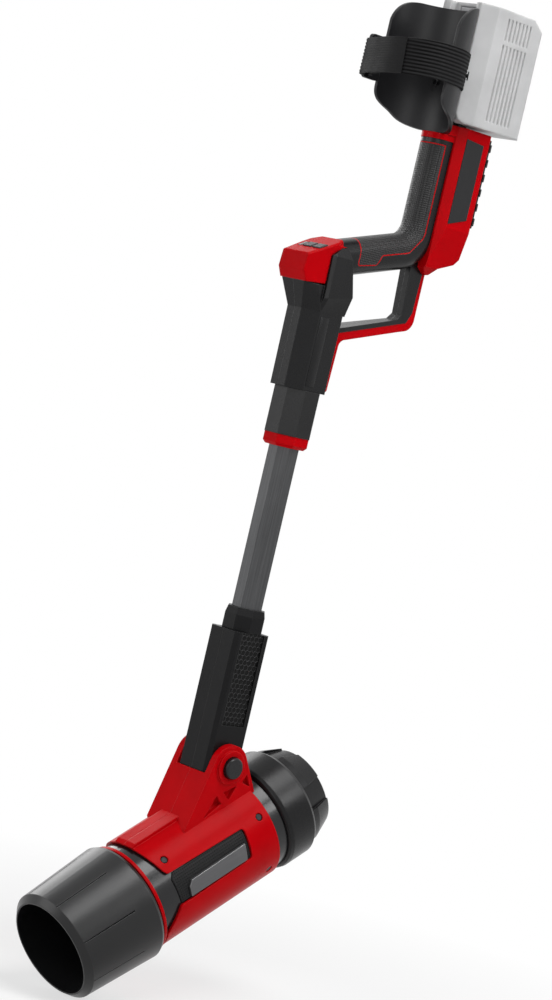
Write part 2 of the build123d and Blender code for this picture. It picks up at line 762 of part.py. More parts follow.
# Motor pod: a hub on guide vanes inside the barrel
pod_back = FAN_BACK + FAN_LENGTH + POD_GAP
VANE_BACK = 30
VANE_LENGTH = 40
with BuildPart() as motor_pod:
    with BuildSketch(across(pod_back)):
        Circle(POD_R)
    extrude(amount=POD_FRONT - pod_back)
    for k in range(POD_VANES):
        with BuildSketch(spoke(VANE_BACK + VANE_LENGTH / 2, 360 * k / POD_VANES + 90, POD_R - 1)):
            Rectangle(VANE_LENGTH, VANE_THICK)
        extrude(amount=barrel_bore - POD_R + 1 - FIT)
    with BuildSketch(across(pod_back + BEARING_WIDTH + POD_WALL)):
        Circle(POD_R - POD_WALL)
    extrude(amount=POD_FRONT - pod_back, mode=Mode.SUBTRACT)
    with BuildSketch(across(pod_back)):
        Circle(BEARING_R)
    extrude(amount=BEARING_WIDTH, mode=Mode.SUBTRACT)
    with BuildSketch(across(pod_back)):
        Circle(SHAFT_R + MOVING_GAP)
    extrude(amount=BEARING_WIDTH + POD_WALL, mode=Mode.SUBTRACT)
save(motor_pod, "motor_pod")

motor_back = pod_back + BEARING_WIDTH + POD_WALL
with BuildPart() as motor:
    with BuildSketch(across(motor_back)):
        Circle(POD_R - POD_WALL - FIT)
        Circle(BEARING_R, mode=Mode.SUBTRACT)
    extrude(amount=MOTOR_LENGTH)
    with BuildSketch(across(motor_back)):
        Circle(BEARING_R)
        Circle(SHAFT_R + MOVING_GAP, mode=Mode.SUBTRACT)
    extrude(amount=MOTOR_LENGTH - BEARING_WIDTH)
save(motor, "motor")

with BuildPart() as shaft_bearings:
    for s in (pod_back, motor_back + MOTOR_LENGTH - BEARING_WIDTH):
        with BuildSketch(across(s)):
            Circle(BEARING_R - RUNNING_FIT)
            Circle(SHAFT_R + RUNNING_FIT, mode=Mode.SUBTRACT)
        extrude(amount=BEARING_WIDTH)
save(shaft_bearings, "shaft_bearings")

shaft_front = motor_back + MOTOR_LENGTH
with BuildPart() as fan_shaft:
    with BuildSketch(across(FAN_BACK - 2)):
        Circle(SHAFT_R)
    extrude(amount=shaft_front - FAN_BACK + 2)
save(fan_shaft, "fan_shaft")

# Fan rotor: twisted blades on a hub with a rounded nose at the intake side
blade_tip = barrel_bore - FAN_TIP_GAP
HUB_NOSE = 16
ROOT_PITCH = 42
TIP_PITCH = 62
BLADE_CHORD = 20
with BuildPart() as fan_rotor:
    with BuildSketch(HEAD):
        outline(
            (FAN_BACK - HUB_NOSE, 0),
            (FAN_BACK - HUB_NOSE, FAN_HUB_R * 0.3),
            (FAN_BACK - HUB_NOSE * 0.75, FAN_HUB_R * 0.66),
            (FAN_BACK - HUB_NOSE * 0.4, FAN_HUB_R * 0.88),
            (FAN_BACK, FAN_HUB_R),
            (FAN_BACK + FAN_LENGTH, FAN_HUB_R),
            (FAN_BACK + FAN_LENGTH, 0),
        )
    revolve(axis=HEAD_AXIS)
    for k in range(FAN_BLADES):
        turn = 360 * k / FAN_BLADES
        with BuildSketch(spoke(FAN_BACK + FAN_LENGTH / 2, turn, FAN_HUB_R - 1.5)):
            Rectangle(BLADE_CHORD, BLADE_THICK, rotation=ROOT_PITCH)
        with BuildSketch(spoke(FAN_BACK + FAN_LENGTH / 2, turn, blade_tip)):
            Rectangle(BLADE_CHORD, BLADE_THICK * 0.7, rotation=TIP_PITCH)
        loft(ruled=True)
    with BuildSketch(across(FAN_BACK - 2)):
        Circle(SHAFT_R)
    extrude(amount=FAN_LENGTH + 2, mode=Mode.SUBTRACT)
save(fan_rotor, "fan_rotor")

# Tail cone closes the pod behind the motor
CONE_SPIGOT = 4
with BuildPart() as tail_cone:
    with BuildSketch(HEAD):
        outline(
            (POD_FRONT - CONE_SPIGOT, 0),
            (POD_FRONT - CONE_SPIGOT, POD_R - POD_WALL - FIT),
            (POD_FRONT, POD_R - POD_WALL - FIT),
            (POD_FRONT, POD_R),
            (POD_FRONT + CONE_LENGTH * 0.45, POD_R * 0.78),
            (POD_FRONT + CONE_LENGTH * 0.8, POD_R * 0.42),
            (POD_FRONT + CONE_LENGTH, POD_R * 0.12),
            (POD_FRONT + CONE_LENGTH, 0),
        )
    revolve(axis=HEAD_AXIS)
save(tail_cone, "tail_cone")

# Handle: grip, D-frame and neck in two halves, with a soft cover let into the grip
grip_run = Vector(-cos(radians(GRIP_TILT)), 0, sin(radians(GRIP_TILT)))
GRIP_START = 58
grip_start = grip_run * (-GRIP_START)
elbow = grip_run * (-UPRIGHT_X / cos(radians(GRIP_TILT)))
GRIP_SECTION = Plane(origin=grip_start, x_dir=(0, 1, 0), z_dir=grip_run)


def grip_solid(inset, top):
    """The bent grip bar, made smaller all round by the inset."""
    with BuildPart() as bar:
        with BuildLine(Plane.XZ):
            FilletPolyline(
                (grip_start.X, grip_start.Z),
                (elbow.X, elbow.Z),
                (UPRIGHT_X, top),
                radius=GRIP_BEND,
            )
        with BuildSketch(GRIP_SECTION):
            RectangleRounded(GRIP_WIDE - 2 * inset, GRIP_DEEP - 2 * inset, GRIP_ROUND - inset)
        sweep()
    return bar


def cover_field(growth):
    """Side view of the soft cover: over the grip's top and the upright's front, down to the piping."""
    with BuildSketch(Plane.XZ) as field:
        with BuildLine():
            seam = FilletPolyline(
                (36, 60),
                (36, -16.5),
                (11, -11.5),
                (6, -0.5),
                (-30, 9),
                (-46, 28),
                (-46, UPRIGHT_TOP - BAND_HEIGHT),
                radius=(2, 3, 3, 8, 14),
            )
            Polyline(seam @ 1, (60, UPRIGHT_TOP - BAND_HEIGHT), (60, 60), seam @ 0)
        make_face()
        if growth:
            offset(amount=growth, kind=Kind.INTERSECTION)
    return field


def neck_section(z, front, flat_half):
    """Eight-sided section of the neck: a narrow flat in front between wide bevels."""
    with BuildSketch(level(z)) as section:
        outline(
            (-NECK_REAR, -NECK_HALF + NECK_REAR_BEVEL),
            (-NECK_REAR + NECK_REAR_BEVEL, -NECK_HALF),
            (front - NECK_BEVEL_RUN, -NECK_HALF),
            (front, -flat_half),
            (front, flat_half),
            (front - NECK_BEVEL_RUN, NECK_HALF),
            (-NECK_REAR + NECK_REAR_BEVEL, NECK_HALF),
            (-NECK_REAR, NECK_HALF - NECK_REAR_BEVEL),
        )
    return section.sketch.face()


def cheek_section(z, rear, front, half, fall=0):
    """Eight-sided section of the cheeks beside the thumb panel, falling to the front by the given slope."""
    with BuildSketch(Plane(origin=(GRIP_TO_TUBE, 0, z), x_dir=(1, 0, -fall), z_dir=(fall, 0, 1))) as section:
        outline(
            (-rear, -half + 6),
            (-rear + 6, -half),
            (front - 3, -half),
            (front, -half + 3),
            (front, half - 3),
            (front - 3, half),
            (-rear + 6, half),
            (-rear, half - 6),
        )
    return section.sketch.face()


# Key levels of the handle, from the grip's middle
WAIST = -71
CAP_FOOT = -45
CHEEK_FOOT = -54
CHEEK_FALL = 0.2
CHEEK_HEAD = -14
SHOULDER = -3
CAP_NOSE = 46.5
CAP_TUCK = 6
CAP_FRONT_HALF = 18
CAP_CREST = 4
CAP_ROUND = 1.8
CAP_REAR_HALF = 15
CAP_REAR_RUN = 9
BAR_SLOPE = 0.27
BAR_TOP = -71.5
BAR_THICK = 4.8
SPINE_THICK = 8.6
REAR_BAR_IN = -49.7
REAR_BAR_OUT = -64.5
SPINE_OUT = -70
BAR_TAPER_START = 30
NECK_TRIM = 5


def bar_line(x, drop):
    """Height of the lower bar's top line at x, less the drop."""
    return BAR_TOP - BAR_SLOPE * x - drop


def frame_plan(inset):
    """Plan of the lower and rear bars: full width at the neck, narrower towards the back."""
    with BuildSketch(Plane.XY) as plan:
        outline(
            (GRIP_TO_TUBE, BAR_HALF - inset),
            (BAR_TAPER_START, BAR_HALF - inset),
            (REAR_BAR_IN, REAR_BAR_HALF - inset),
            (HOUSING_REAR, REAR_BAR_HALF - inset),
            (HOUSING_REAR, -REAR_BAR_HALF + inset),
            (REAR_BAR_IN, -REAR_BAR_HALF + inset),
            (BAR_TAPER_START, -BAR_HALF + inset),
            (GRIP_TO_TUBE, -BAR_HALF + inset),
        )
    return plan.sketch


bar_left = GRIP_TO_TUBE - NECK_REAR
outer_grip = grip_solid(0, UPRIGHT_TOP)
inner_grip = grip_solid(GRIP_SKIN, UPRIGHT_TOP)
with BuildPart() as grip_skin:
    add(outer_grip.part)
    add(inner_grip.part, mode=Mode.SUBTRACT)

with BuildPart() as grip_cover:
    add(grip_skin.part)
    extrude(cover_field(0).sketch, amount=GRIP_WIDE, both=True, mode=Mode.INTERSECT)
save(grip_cover, "grip_cover")

with BuildPart() as grip_piping:
    add(grip_skin.part)
    extrude(cover_field(PIPING_WIDTH).sketch, amount=GRIP_WIDE, both=True, mode=Mode.INTERSECT)
    add(grip_cover.part, mode=Mode.SUBTRACT)
save(grip_piping, "grip_piping")

cap_corners = [
    (GRIP_TO_TUBE + CAP_NOSE - CAP_TUCK, CAP_FOOT),
    (GRIP_TO_TUBE + CAP_NOSE, CAP_FOOT + 10),
    (GRIP_TO_TUBE + CAP_NOSE - 1.5, CHEEK_HEAD - 3.5),
    (GRIP_TO_TUBE, CAP_CREST),
    (GRIP_TO_TUBE - 3, SHOULDER),
    (GRIP_TO_TUBE + 4, SHOULDER - 2),
    (GRIP_TO_TUBE + CHEEK_FRONT, CHEEK_HEAD),
    (GRIP_TO_TUBE + CHEEK_FRONT, CAP_FOOT + 2),
]
housing_corners = [
    (HOUSING_FRONT, -1.5),
    (REAR_BAR_OUT - 1, -8.5),
    (SPINE_OUT, -7.5),
    (SPINE_OUT - 4, 0.5),
    (HOUSING_REAR + 4, 8.5),
    (HOUSING_REAR - 1, 15),
    (HOUSING_REAR, 49),
    (HOUSING_REAR, HOUSING_TOP),
    (CUFF_X - CUFF_R - 0.5, HOUSING_TOP),
    (CUFF_X - CUFF_R - 0.5, UPRIGHT_TOP + BAND_HEIGHT + 0.2),
    (HOUSING_FRONT, UPRIGHT_TOP + BAND_HEIGHT + 0.2),
]
HANDLE_SCREW_END = 12
handle_screw_spots = [(GRIP_TO_TUBE - 14, -120), (GRIP_TO_TUBE - 13, -64), (48, -84)]
with BuildPart() as hand_frame:
    with BuildSketch(Plane.XZ):
        outline(
            (bar_left + 8, bar_line(bar_left + 8, 0)),
            (REAR_BAR_IN + 6, bar_line(REAR_BAR_IN + 6, 0)),
            (REAR_BAR_IN, bar_line(REAR_BAR_IN, -5)),
            (REAR_BAR_IN + 3, 0),
            (HOUSING_FRONT, 6),
            (REAR_BAR_OUT - 1, -9),
            (REAR_BAR_OUT, bar_line(REAR_BAR_OUT, -5)),
            (REAR_BAR_OUT + 6, bar_line(REAR_BAR_OUT + 6, BAR_THICK)),
            (bar_left + 8, bar_line(bar_left + 8, BAR_THICK)),
        )
    extrude(amount=BAR_HALF, both=True)
    extrude(frame_plan(0), amount=2 * NECK_TO_GRIP, both=True, mode=Mode.INTERSECT)

with BuildPart() as handle_shell:
    neck = [
        neck_section(neck_foot, NECK_FRONT, NECK_FLAT_HALF),
        neck_section(WAIST, NECK_FRONT + 1, NECK_FLAT_HALF),
        neck_section(CAP_FOOT, CAP_NOSE - CAP_TUCK, CAP_FRONT_HALF - 2),
    ]
    loft(neck, ruled=True)
    cheeks = [
        cheek_section(WAIST + 1, CHEEK_REAR + CHEEK_LEAN, CHEEK_FRONT, NECK_HALF),
        cheek_section(CHEEK_FOOT, CHEEK_REAR + CHEEK_LEAN, CHEEK_FRONT, CHEEK_HALF, CHEEK_FALL),
        cheek_section(CHEEK_HEAD, CHEEK_REAR, CHEEK_FRONT, CHEEK_HALF - 1),
        cheek_section(SHOULDER, CHEEK_REAR - 4, CHEEK_FRONT - 3, NECK_HALF - 1),
    ]
    loft(cheeks, ruled=True)
    add(hand_frame.part)
    add(outer_grip.part)
    add(grip_cover.part, mode=Mode.SUBTRACT)
    add(grip_piping.part, mode=Mode.SUBTRACT)
    with BuildSketch(Plane.XZ):
        outline(*cap_corners)
        outline(*housing_corners)
    extrude(amount=2 * HOUSING_HALF, both=True, mode=Mode.SUBTRACT)
    with BuildSketch(level(neck_foot)):
        octagon(SLEEVE_SPIGOT)
    extrude(amount=SLEEVE_IN_NECK, mode=Mode.SUBTRACT)
    with BuildSketch(level(sleeve_head)):
        octagon(TUBE_FLATS + 2 * FIT)
    extrude(amount=tube_head - sleeve_head, mode=Mode.SUBTRACT)
    with BuildSketch(level(tube_head)):
        Rectangle(TUBE_FLATS, TUBE_FLATS)
    extrude(amount=WAIST - tube_head + 8, mode=Mode.SUBTRACT)
    with BuildSketch(level(WAIST)):
        with Locations(((CHEEK_FRONT - CHEEK_REAR) / 2, 0)):
            Rectangle(CHEEK_FRONT + CHEEK_REAR - 8, 2 * CAP_HALF - 6)
    extrude(amount=SHOULDER - WAIST - 4, mode=Mode.SUBTRACT)
    with BuildSketch(level(CAP_FOOT + 2 * CAP_WALL)):
        with Locations((CHEEK_FRONT, 0)):
            Rectangle(4 * CAP_WALL, 2 * CAP_CAVITY_HALF)
    extrude(amount=CHEEK_HEAD - CAP_FOOT - 4 * CAP_WALL, mode=Mode.SUBTRACT)
    with BuildSketch(Plane.XZ.offset(NECK_HALF)):
        with Locations(*handle_screw_spots):
            Circle(SCREW_R + FIT)
    extrude(amount=-NECK_HALF - HANDLE_SCREW_END, mode=Mode.SUBTRACT)
    with BuildSketch(Plane.XZ.offset(2 * NECK_HALF)):
        with Locations(*handle_screw_spots):
            Circle(SCREW_HEAD_R + FIT)
    extrude(amount=-2 * NECK_HALF + BAR_HALF - SCREW_HEAD - 1, mode=Mode.SUBTRACT)
save_halves(handle_shell, "handle_shell")

with BuildPart() as handle_screws:
    with BuildSketch(Plane.XZ.offset(BAR_HALF - 1)):
        with Locations(*handle_screw_spots):
            Circle(SCREW_HEAD_R)
    extrude(amount=-SCREW_HEAD)
    with BuildSketch(Plane.XZ.offset(BAR_HALF - 1)):
        with Locations(*handle_screw_spots):
            Circle(SCREW_R)
    extrude(amount=-BAR_HALF - HANDLE_SCREW_END + 2)
save(handle_screws, "handle_screws")

# Red spine: the trim along the back of the neck, under the lower bar and behind the rear bar
with BuildPart() as spine_trim:
    with BuildSketch(Plane.XZ):
        with BuildLine():
            spine_edge = FilletPolyline(
                (bar_left, neck_foot + 1),
                (bar_left - NECK_TRIM, neck_foot + 4),
                (bar_left - NECK_TRIM - 2, bar_line(bar_left - NECK_TRIM - 2, BAR_THICK + SPINE_THICK)),
                (SPINE_OUT, bar_line(SPINE_OUT, BAR_THICK + SPINE_THICK)),
                (SPINE_OUT, -7.5),
                radius=(2, 8, 14),
            )
            Polyline(
                spine_edge @ 1,
                (REAR_BAR_OUT - 1, -9),
                (REAR_BAR_OUT, bar_line(REAR_BAR_OUT, -5)),
                (REAR_BAR_OUT + 6, bar_line(REAR_BAR_OUT + 6, BAR_THICK)),
                (bar_left, bar_line(bar_left, BAR_THICK)),
                spine_edge @ 0,
            )
        make_face()
    extrude(amount=BAR_HALF, both=True)
    extrude(frame_plan(SPINE_INSET), amount=2 * NECK_TO_GRIP, both=True, mode=Mode.INTERSECT)
    add(handle_shell.part, mode=Mode.SUBTRACT)
save(spine_trim, "spine_trim")

# Control cap: the red thumb panel over the front of the handle
panel_foot = Vector(*cap_corners[2])
panel_head = Vector(*cap_corners[3])
panel_up = (panel_head - panel_foot).normalized()
panel_mid = (panel_head + panel_foot) * 0.5
PANEL = Plane(
    origin=(panel_mid.X, 0, panel_mid.Y),
    x_dir=(0, 1, 0),
    z_dir=(panel_up.Y, 0, -panel_up.X),
)
KEY_ASIDE = -1.5
KEY_FORWARD = -4
key_spots = [(KEY_ASIDE, KEY_FORWARD), (KEY_ASIDE + KEY_PITCH, KEY_FORWARD)]
LENS_SPOT = (KEY_ASIDE - KEY_PITCH + 3, KEY_FORWARD)
key_hole_deep = 2 * CAP_WALL
LENS_WIDE = 4
with BuildPart() as control_cap:
    with BuildSketch(Plane.XZ):
        outline(*cap_corners)
    extrude(amount=CAP_HALF, both=True)
    for sign in (1, -1):
        with BuildSketch(Plane.XY.offset(CAP_FOOT - 5)):
            outline(
                (GRIP_TO_TUBE + CAP_NOSE, sign * CAP_FRONT_HALF),
                (GRIP_TO_TUBE + CAP_NOSE, sign * (CAP_HALF + 5)),
                (GRIP_TO_TUBE + CHEEK_FRONT + 4, sign * (CAP_HALF + 5)),
                (GRIP_TO_TUBE + CHEEK_FRONT + 4, sign * CAP_HALF),
            )
        extrude(amount=-2 * CAP_FOOT, mode=Mode.SUBTRACT)
        with BuildSketch(Plane.XY.offset(SHOULDER)):
            outline(
                (GRIP_TO_TUBE, sign * CAP_REAR_HALF),
                (GRIP_TO_TUBE + CAP_REAR_RUN, sign * CAP_HALF),
                (GRIP_TO_TUBE + CAP_REAR_RUN, sign * (CAP_HALF + 1)),
                (GRIP_TO_TUBE - 10, sign * (CAP_HALF + 1)),
                (GRIP_TO_TUBE - 10, sign * CAP_REAR_HALF),
            )
        extrude(amount=2 * CAP_CREST, mode=Mode.SUBTRACT)
    panel_face = control_cap.faces().sort_by(Axis(PANEL.origin, PANEL.z_dir))[-1]
    fillet(panel_face.edges(), CAP_ROUND)
    with BuildSketch(Plane.XZ):
        outline(*cap_corners)
        offset(amount=-CAP_WALL, kind=Kind.INTERSECTION)
        with Locations((GRIP_TO_TUBE + CHEEK_FRONT + CAP_WALL, (CAP_FOOT + CHEEK_HEAD) / 2)):
            Rectangle(4 * CAP_WALL, CHEEK_HEAD - CAP_FOOT - 4 * CAP_WALL)
    extrude(amount=CAP_CAVITY_HALF, both=True, mode=Mode.SUBTRACT)
    with BuildSketch(PANEL):
        with Locations(*key_spots):
            Rectangle(KEY_SIZE + 2 * KEY_GAP, KEY_SIZE + 2 * KEY_GAP)
        with Locations(LENS_SPOT):
            Rectangle(LENS_WIDE + 2 * FIT, KEY_SIZE + 2 * FIT)
    extrude(amount=-key_hole_deep, mode=Mode.SUBTRACT)
save(control_cap, "control_cap")

# Keys: two press buttons in the panel's wells
key_deep = key_hole_deep - KEY_TRAVEL - MOVING_GAP
for name, spot in (("power_button", key_spots[0]), ("speed_button", key_spots[1])):
    with BuildPart() as key:
        with BuildSketch(PANEL.offset(KEY_PROUD)):
            with Locations(spot):
                Rectangle(KEY_SIZE, KEY_SIZE)
        extrude(amount=-KEY_PROUD - key_deep)
        fillet(key.edges().group_by(Axis(PANEL.origin, PANEL.z_dir))[-1], KEY_PROUD / 2)
    save(key, name)

# Level lens beside the keys
LENS_PROUD = 0.3
with BuildPart() as level_lens:
    with BuildSketch(PANEL.offset(LENS_PROUD)):
        with Locations(LENS_SPOT):
            Rectangle(LENS_WIDE, KEY_SIZE)
    extrude(amount=-LENS_PROUD - key_hole_deep)
save(level_lens, "level_lens")

# Control board, upright in the hollow of the cheeks
BOARD_X = GRIP_TO_TUBE - 3
BOARD_FOOT = WAIST + 5
BOARD_HEAD = -22
with BuildPart() as control_board:
    with BuildSketch(Plane.YZ.offset(BOARD_X)):
        with Locations((0, (BOARD_FOOT + BOARD_HEAD) / 2)):
            Rectangle(2 * CAP_HALF - 6 - 2 * FIT, BOARD_HEAD - BOARD_FOOT)
    extrude(amount=BOARD_THICK)
save(control_board, "control_board")

# Red battery housing behind the upright grip, in two halves
FACET_TOP = 43
FACET_FOOT_HALF = 18
LABEL_FRONT = HOUSING_FRONT - 8
LABEL_REAR = HOUSING_REAR + 8.5
label_corners = [(LABEL_FRONT, 47), (LABEL_REAR, 55), (LABEL_REAR, 133), (LABEL_FRONT, 135)]
label_in = HOUSING_HALF - LABEL_INSET
VENT_HALF = 22
VENT_FOOT = 49
VENT_TOP = 141
COLLAR_LIP = 0.5
HOUSING_SCREW_SEAT = 14
HOUSING_SCREW_END = 10
screw_column = HOUSING_FRONT - 1.5 * HOUSING_WALL
housing_screw_spots = [(screw_column, 40), (screw_column, 118), (HOUSING_REAR + 16, 16)]
with BuildPart() as battery_housing:
    with BuildSketch(Plane.XZ):
        outline(*housing_corners)
    extrude(amount=HOUSING_HALF, both=True)
    for sign in (1, -1):
        with BuildSketch(Plane.XY.offset(-20)):
            outline(
                (0, sign * HOUSING_NOSE_HALF),
                (HOUSING_FRONT, sign * HOUSING_NOSE_HALF),
                (LABEL_FRONT + 0.5, sign * HOUSING_HALF),
                (LABEL_FRONT + 0.5, sign * 2 * HOUSING_HALF),
                (0, sign * 2 * HOUSING_HALF),
            )
        extrude(amount=2 * HOUSING_TOP, mode=Mode.SUBTRACT)
        with BuildSketch(Plane.YZ.offset(HOUSING_REAR - 20)):
            outline(
                (sign * (HOUSING_HALF + 1), FACET_TOP),
                (sign * HOUSING_HALF, FACET_TOP),
                (sign * FACET_FOOT_HALF, 0),
                (sign * REAR_BAR_HALF, -12),
                (sign * (HOUSING_HALF + 1), -12),
            )
        extrude(amount=-2 * HOUSING_REAR, mode=Mode.SUBTRACT)
        with BuildSketch(Plane.XZ.offset(-sign * label_in)):
            outline(*label_corners)
        extrude(amount=-sign * HOUSING_HALF, mode=Mode.SUBTRACT)
    with BuildSketch(Plane.XZ):
        outline(
            (HOUSING_FRONT - 3 * HOUSING_WALL, FACET_TOP - 20),
            (HOUSING_REAR + HOUSING_WALL, FACET_TOP - 20),
            (HOUSING_REAR + HOUSING_WALL, HOUSING_TOP - HOUSING_WALL),
            (HOUSING_FRONT - 3 * HOUSING_WALL, HOUSING_TOP - HOUSING_WALL),
        )
    extrude(amount=HOUSING_NOSE_HALF, both=True, mode=Mode.SUBTRACT)
    with BuildSketch(Plane.XY.offset(UPRIGHT_TOP)):
        with Locations((UPRIGHT_X, 0)):
            RectangleRounded(GRIP_DEEP + 2 * COLLAR_LIP, GRIP_WIDE + 2 * COLLAR_LIP, GRIP_ROUND)
    extrude(amount=BAND_HEIGHT)
    with BuildSketch(Plane.XZ.offset(2 * HOUSING_HALF)):
        with Locations(*housing_screw_spots):
            Circle(SCREW_HEAD_R + FIT)
    extrude(amount=HOUSING_SCREW_SEAT - 2 * HOUSING_HALF, mode=Mode.SUBTRACT)
    with BuildSketch(Plane.XZ.offset(HOUSING_SCREW_SEAT)):
        with Locations(*housing_screw_spots):
            Circle(SCREW_R + FIT)
    extrude(amount=-HOUSING_SCREW_SEAT - HOUSING_SCREW_END, mode=Mode.SUBTRACT)
save_halves(battery_housing, "battery_housing")

with BuildPart() as housing_screws:
    with BuildSketch(Plane.XZ.offset(HOUSING_SCREW_SEAT + SCREW_HEAD)):
        with Locations(*housing_screw_spots):
            Circle(SCREW_HEAD_R)
    extrude(amount=-SCREW_HEAD)
    with BuildSketch(Plane.XZ.offset(HOUSING_SCREW_SEAT)):
        with Locations(*housing_screw_spots):
            Circle(SCREW_R)
    extrude(amount=-HOUSING_SCREW_SEAT - HOUSING_SCREW_END + FIT)
save(housing_screws, "housing_screws")

with BuildPart() as label_plate:
    with BuildSketch(Plane.XZ.offset(-label_in)):
        outline(*label_corners)
        offset(amount=-FIT, kind=Kind.INTERSECTION)
    extrude(amount=-LABEL_THICK)
save_pair(label_plate, "label_plate")

# Vent cover: a ribbed strip down the housing's back
ridge_pitch = (VENT_TOP - VENT_FOOT) / VENT_RIDGES
with BuildPart() as rear_vent_cover:
    with BuildSketch(Plane.XZ):
        with Locations((HOUSING_REAR - VENT_THICK / 4, (VENT_FOOT + VENT_TOP) / 2)):
            Rectangle(VENT_THICK / 2, VENT_TOP - VENT_FOOT)
        for k in range(VENT_RIDGES):
            low = VENT_FOOT + k * ridge_pitch
            outline(
                (HOUSING_REAR - VENT_THICK / 4, low),
                (HOUSING_REAR - VENT_THICK, low + 0.25 * ridge_pitch),
                (HOUSING_REAR - VENT_THICK, low + 0.65 * ridge_pitch),
                (HOUSING_REAR - VENT_THICK / 4, low + 0.8 * ridge_pitch),
            )
    extrude(amount=VENT_HALF, both=True)
save(rear_vent_cover, "rear_vent_cover")

# Battery mount: a plate between the cuff and the battery, with a T rail at its back
mount_front = CUFF_X - CUFF_R - 0.5
mount_back = mount_front - MOUNT_THICK
rail_web_back = mount_back - RAIL_WEB
rail_back = rail_web_back - RAIL_HEAD
CUFF_SCREW_OUT = 10
CUFF_SCREW_LOW = 184
CUFF_SCREW_HIGH = 204
cuff_screw_spots = [
    (sign * CUFF_SCREW_OUT, z) for sign in (1, -1) for z in (CUFF_SCREW_LOW, CUFF_SCREW_HIGH)
]
with BuildPart() as battery_mount:
    with BuildSketch(Plane.XY.offset(HOUSING_TOP)):
        with Locations((mount_front - MOUNT_THICK / 2 + 4, 0)):
            Rectangle(MOUNT_THICK + 8, 2 * MOUNT_HALF)
        with Locations((CUFF_X, 0)):
            Circle(CUFF_R + FIT, mode=Mode.SUBTRACT)
    extrude(amount=MOUNT_HEIGHT)
    with BuildSketch(Plane.XY.offset(HOUSING_TOP)):
        with Locations((mount_back - RAIL_WEB / 2, 0)):
            Rectangle(RAIL_WEB, 2 * RAIL_WEB_HALF)
        with Locations((rail_web_back - RAIL_HEAD / 2, 0)):
            Rectangle(RAIL_HEAD, 2 * RAIL_HEAD_HALF)
    extrude(amount=RAIL_HEIGHT)
    with BuildSketch(Plane.YZ.offset(mount_back - 1)):
        with Locations(*cuff_screw_spots):
            Circle(SCREW_R)
    extrude(amount=MOUNT_THICK + 8, mode=Mode.SUBTRACT)
save(battery_mount, "battery_mount")

# Contact blades that stand up from the housing into the battery
terminal_x = rail_back - 5
TERMINAL_DEEP = 5
TERMINAL_THICK = 1
TERMINAL_TALL = 24
BLOCK_TALL = 2.4
with BuildPart() as terminal_block:
    with BuildSketch(Plane.XY.offset(HOUSING_TOP)):
        with Locations((terminal_x, 0)):
            Rectangle(TERMINAL_DEEP + 3, TERMINAL_COUNT * TERMINAL_PITCH)
            with GridLocations(0, TERMINAL_PITCH, 1, TERMINAL_COUNT):
                Rectangle(TERMINAL_DEEP, TERMINAL_THICK, mode=Mode.SUBTRACT)
    extrude(amount=BLOCK_TALL)
save(terminal_block, "terminal_block")

with BuildPart() as terminals:
    with BuildSketch(Plane.XY.offset(HOUSING_TOP)):
        with Locations((terminal_x, 0)):
            with GridLocations(0, TERMINAL_PITCH, 1, TERMINAL_COUNT):
                Rectangle(TERMINAL_DEEP, TERMINAL_THICK)
    extrude(amount=TERMINAL_TALL)
save(terminals, "terminals")

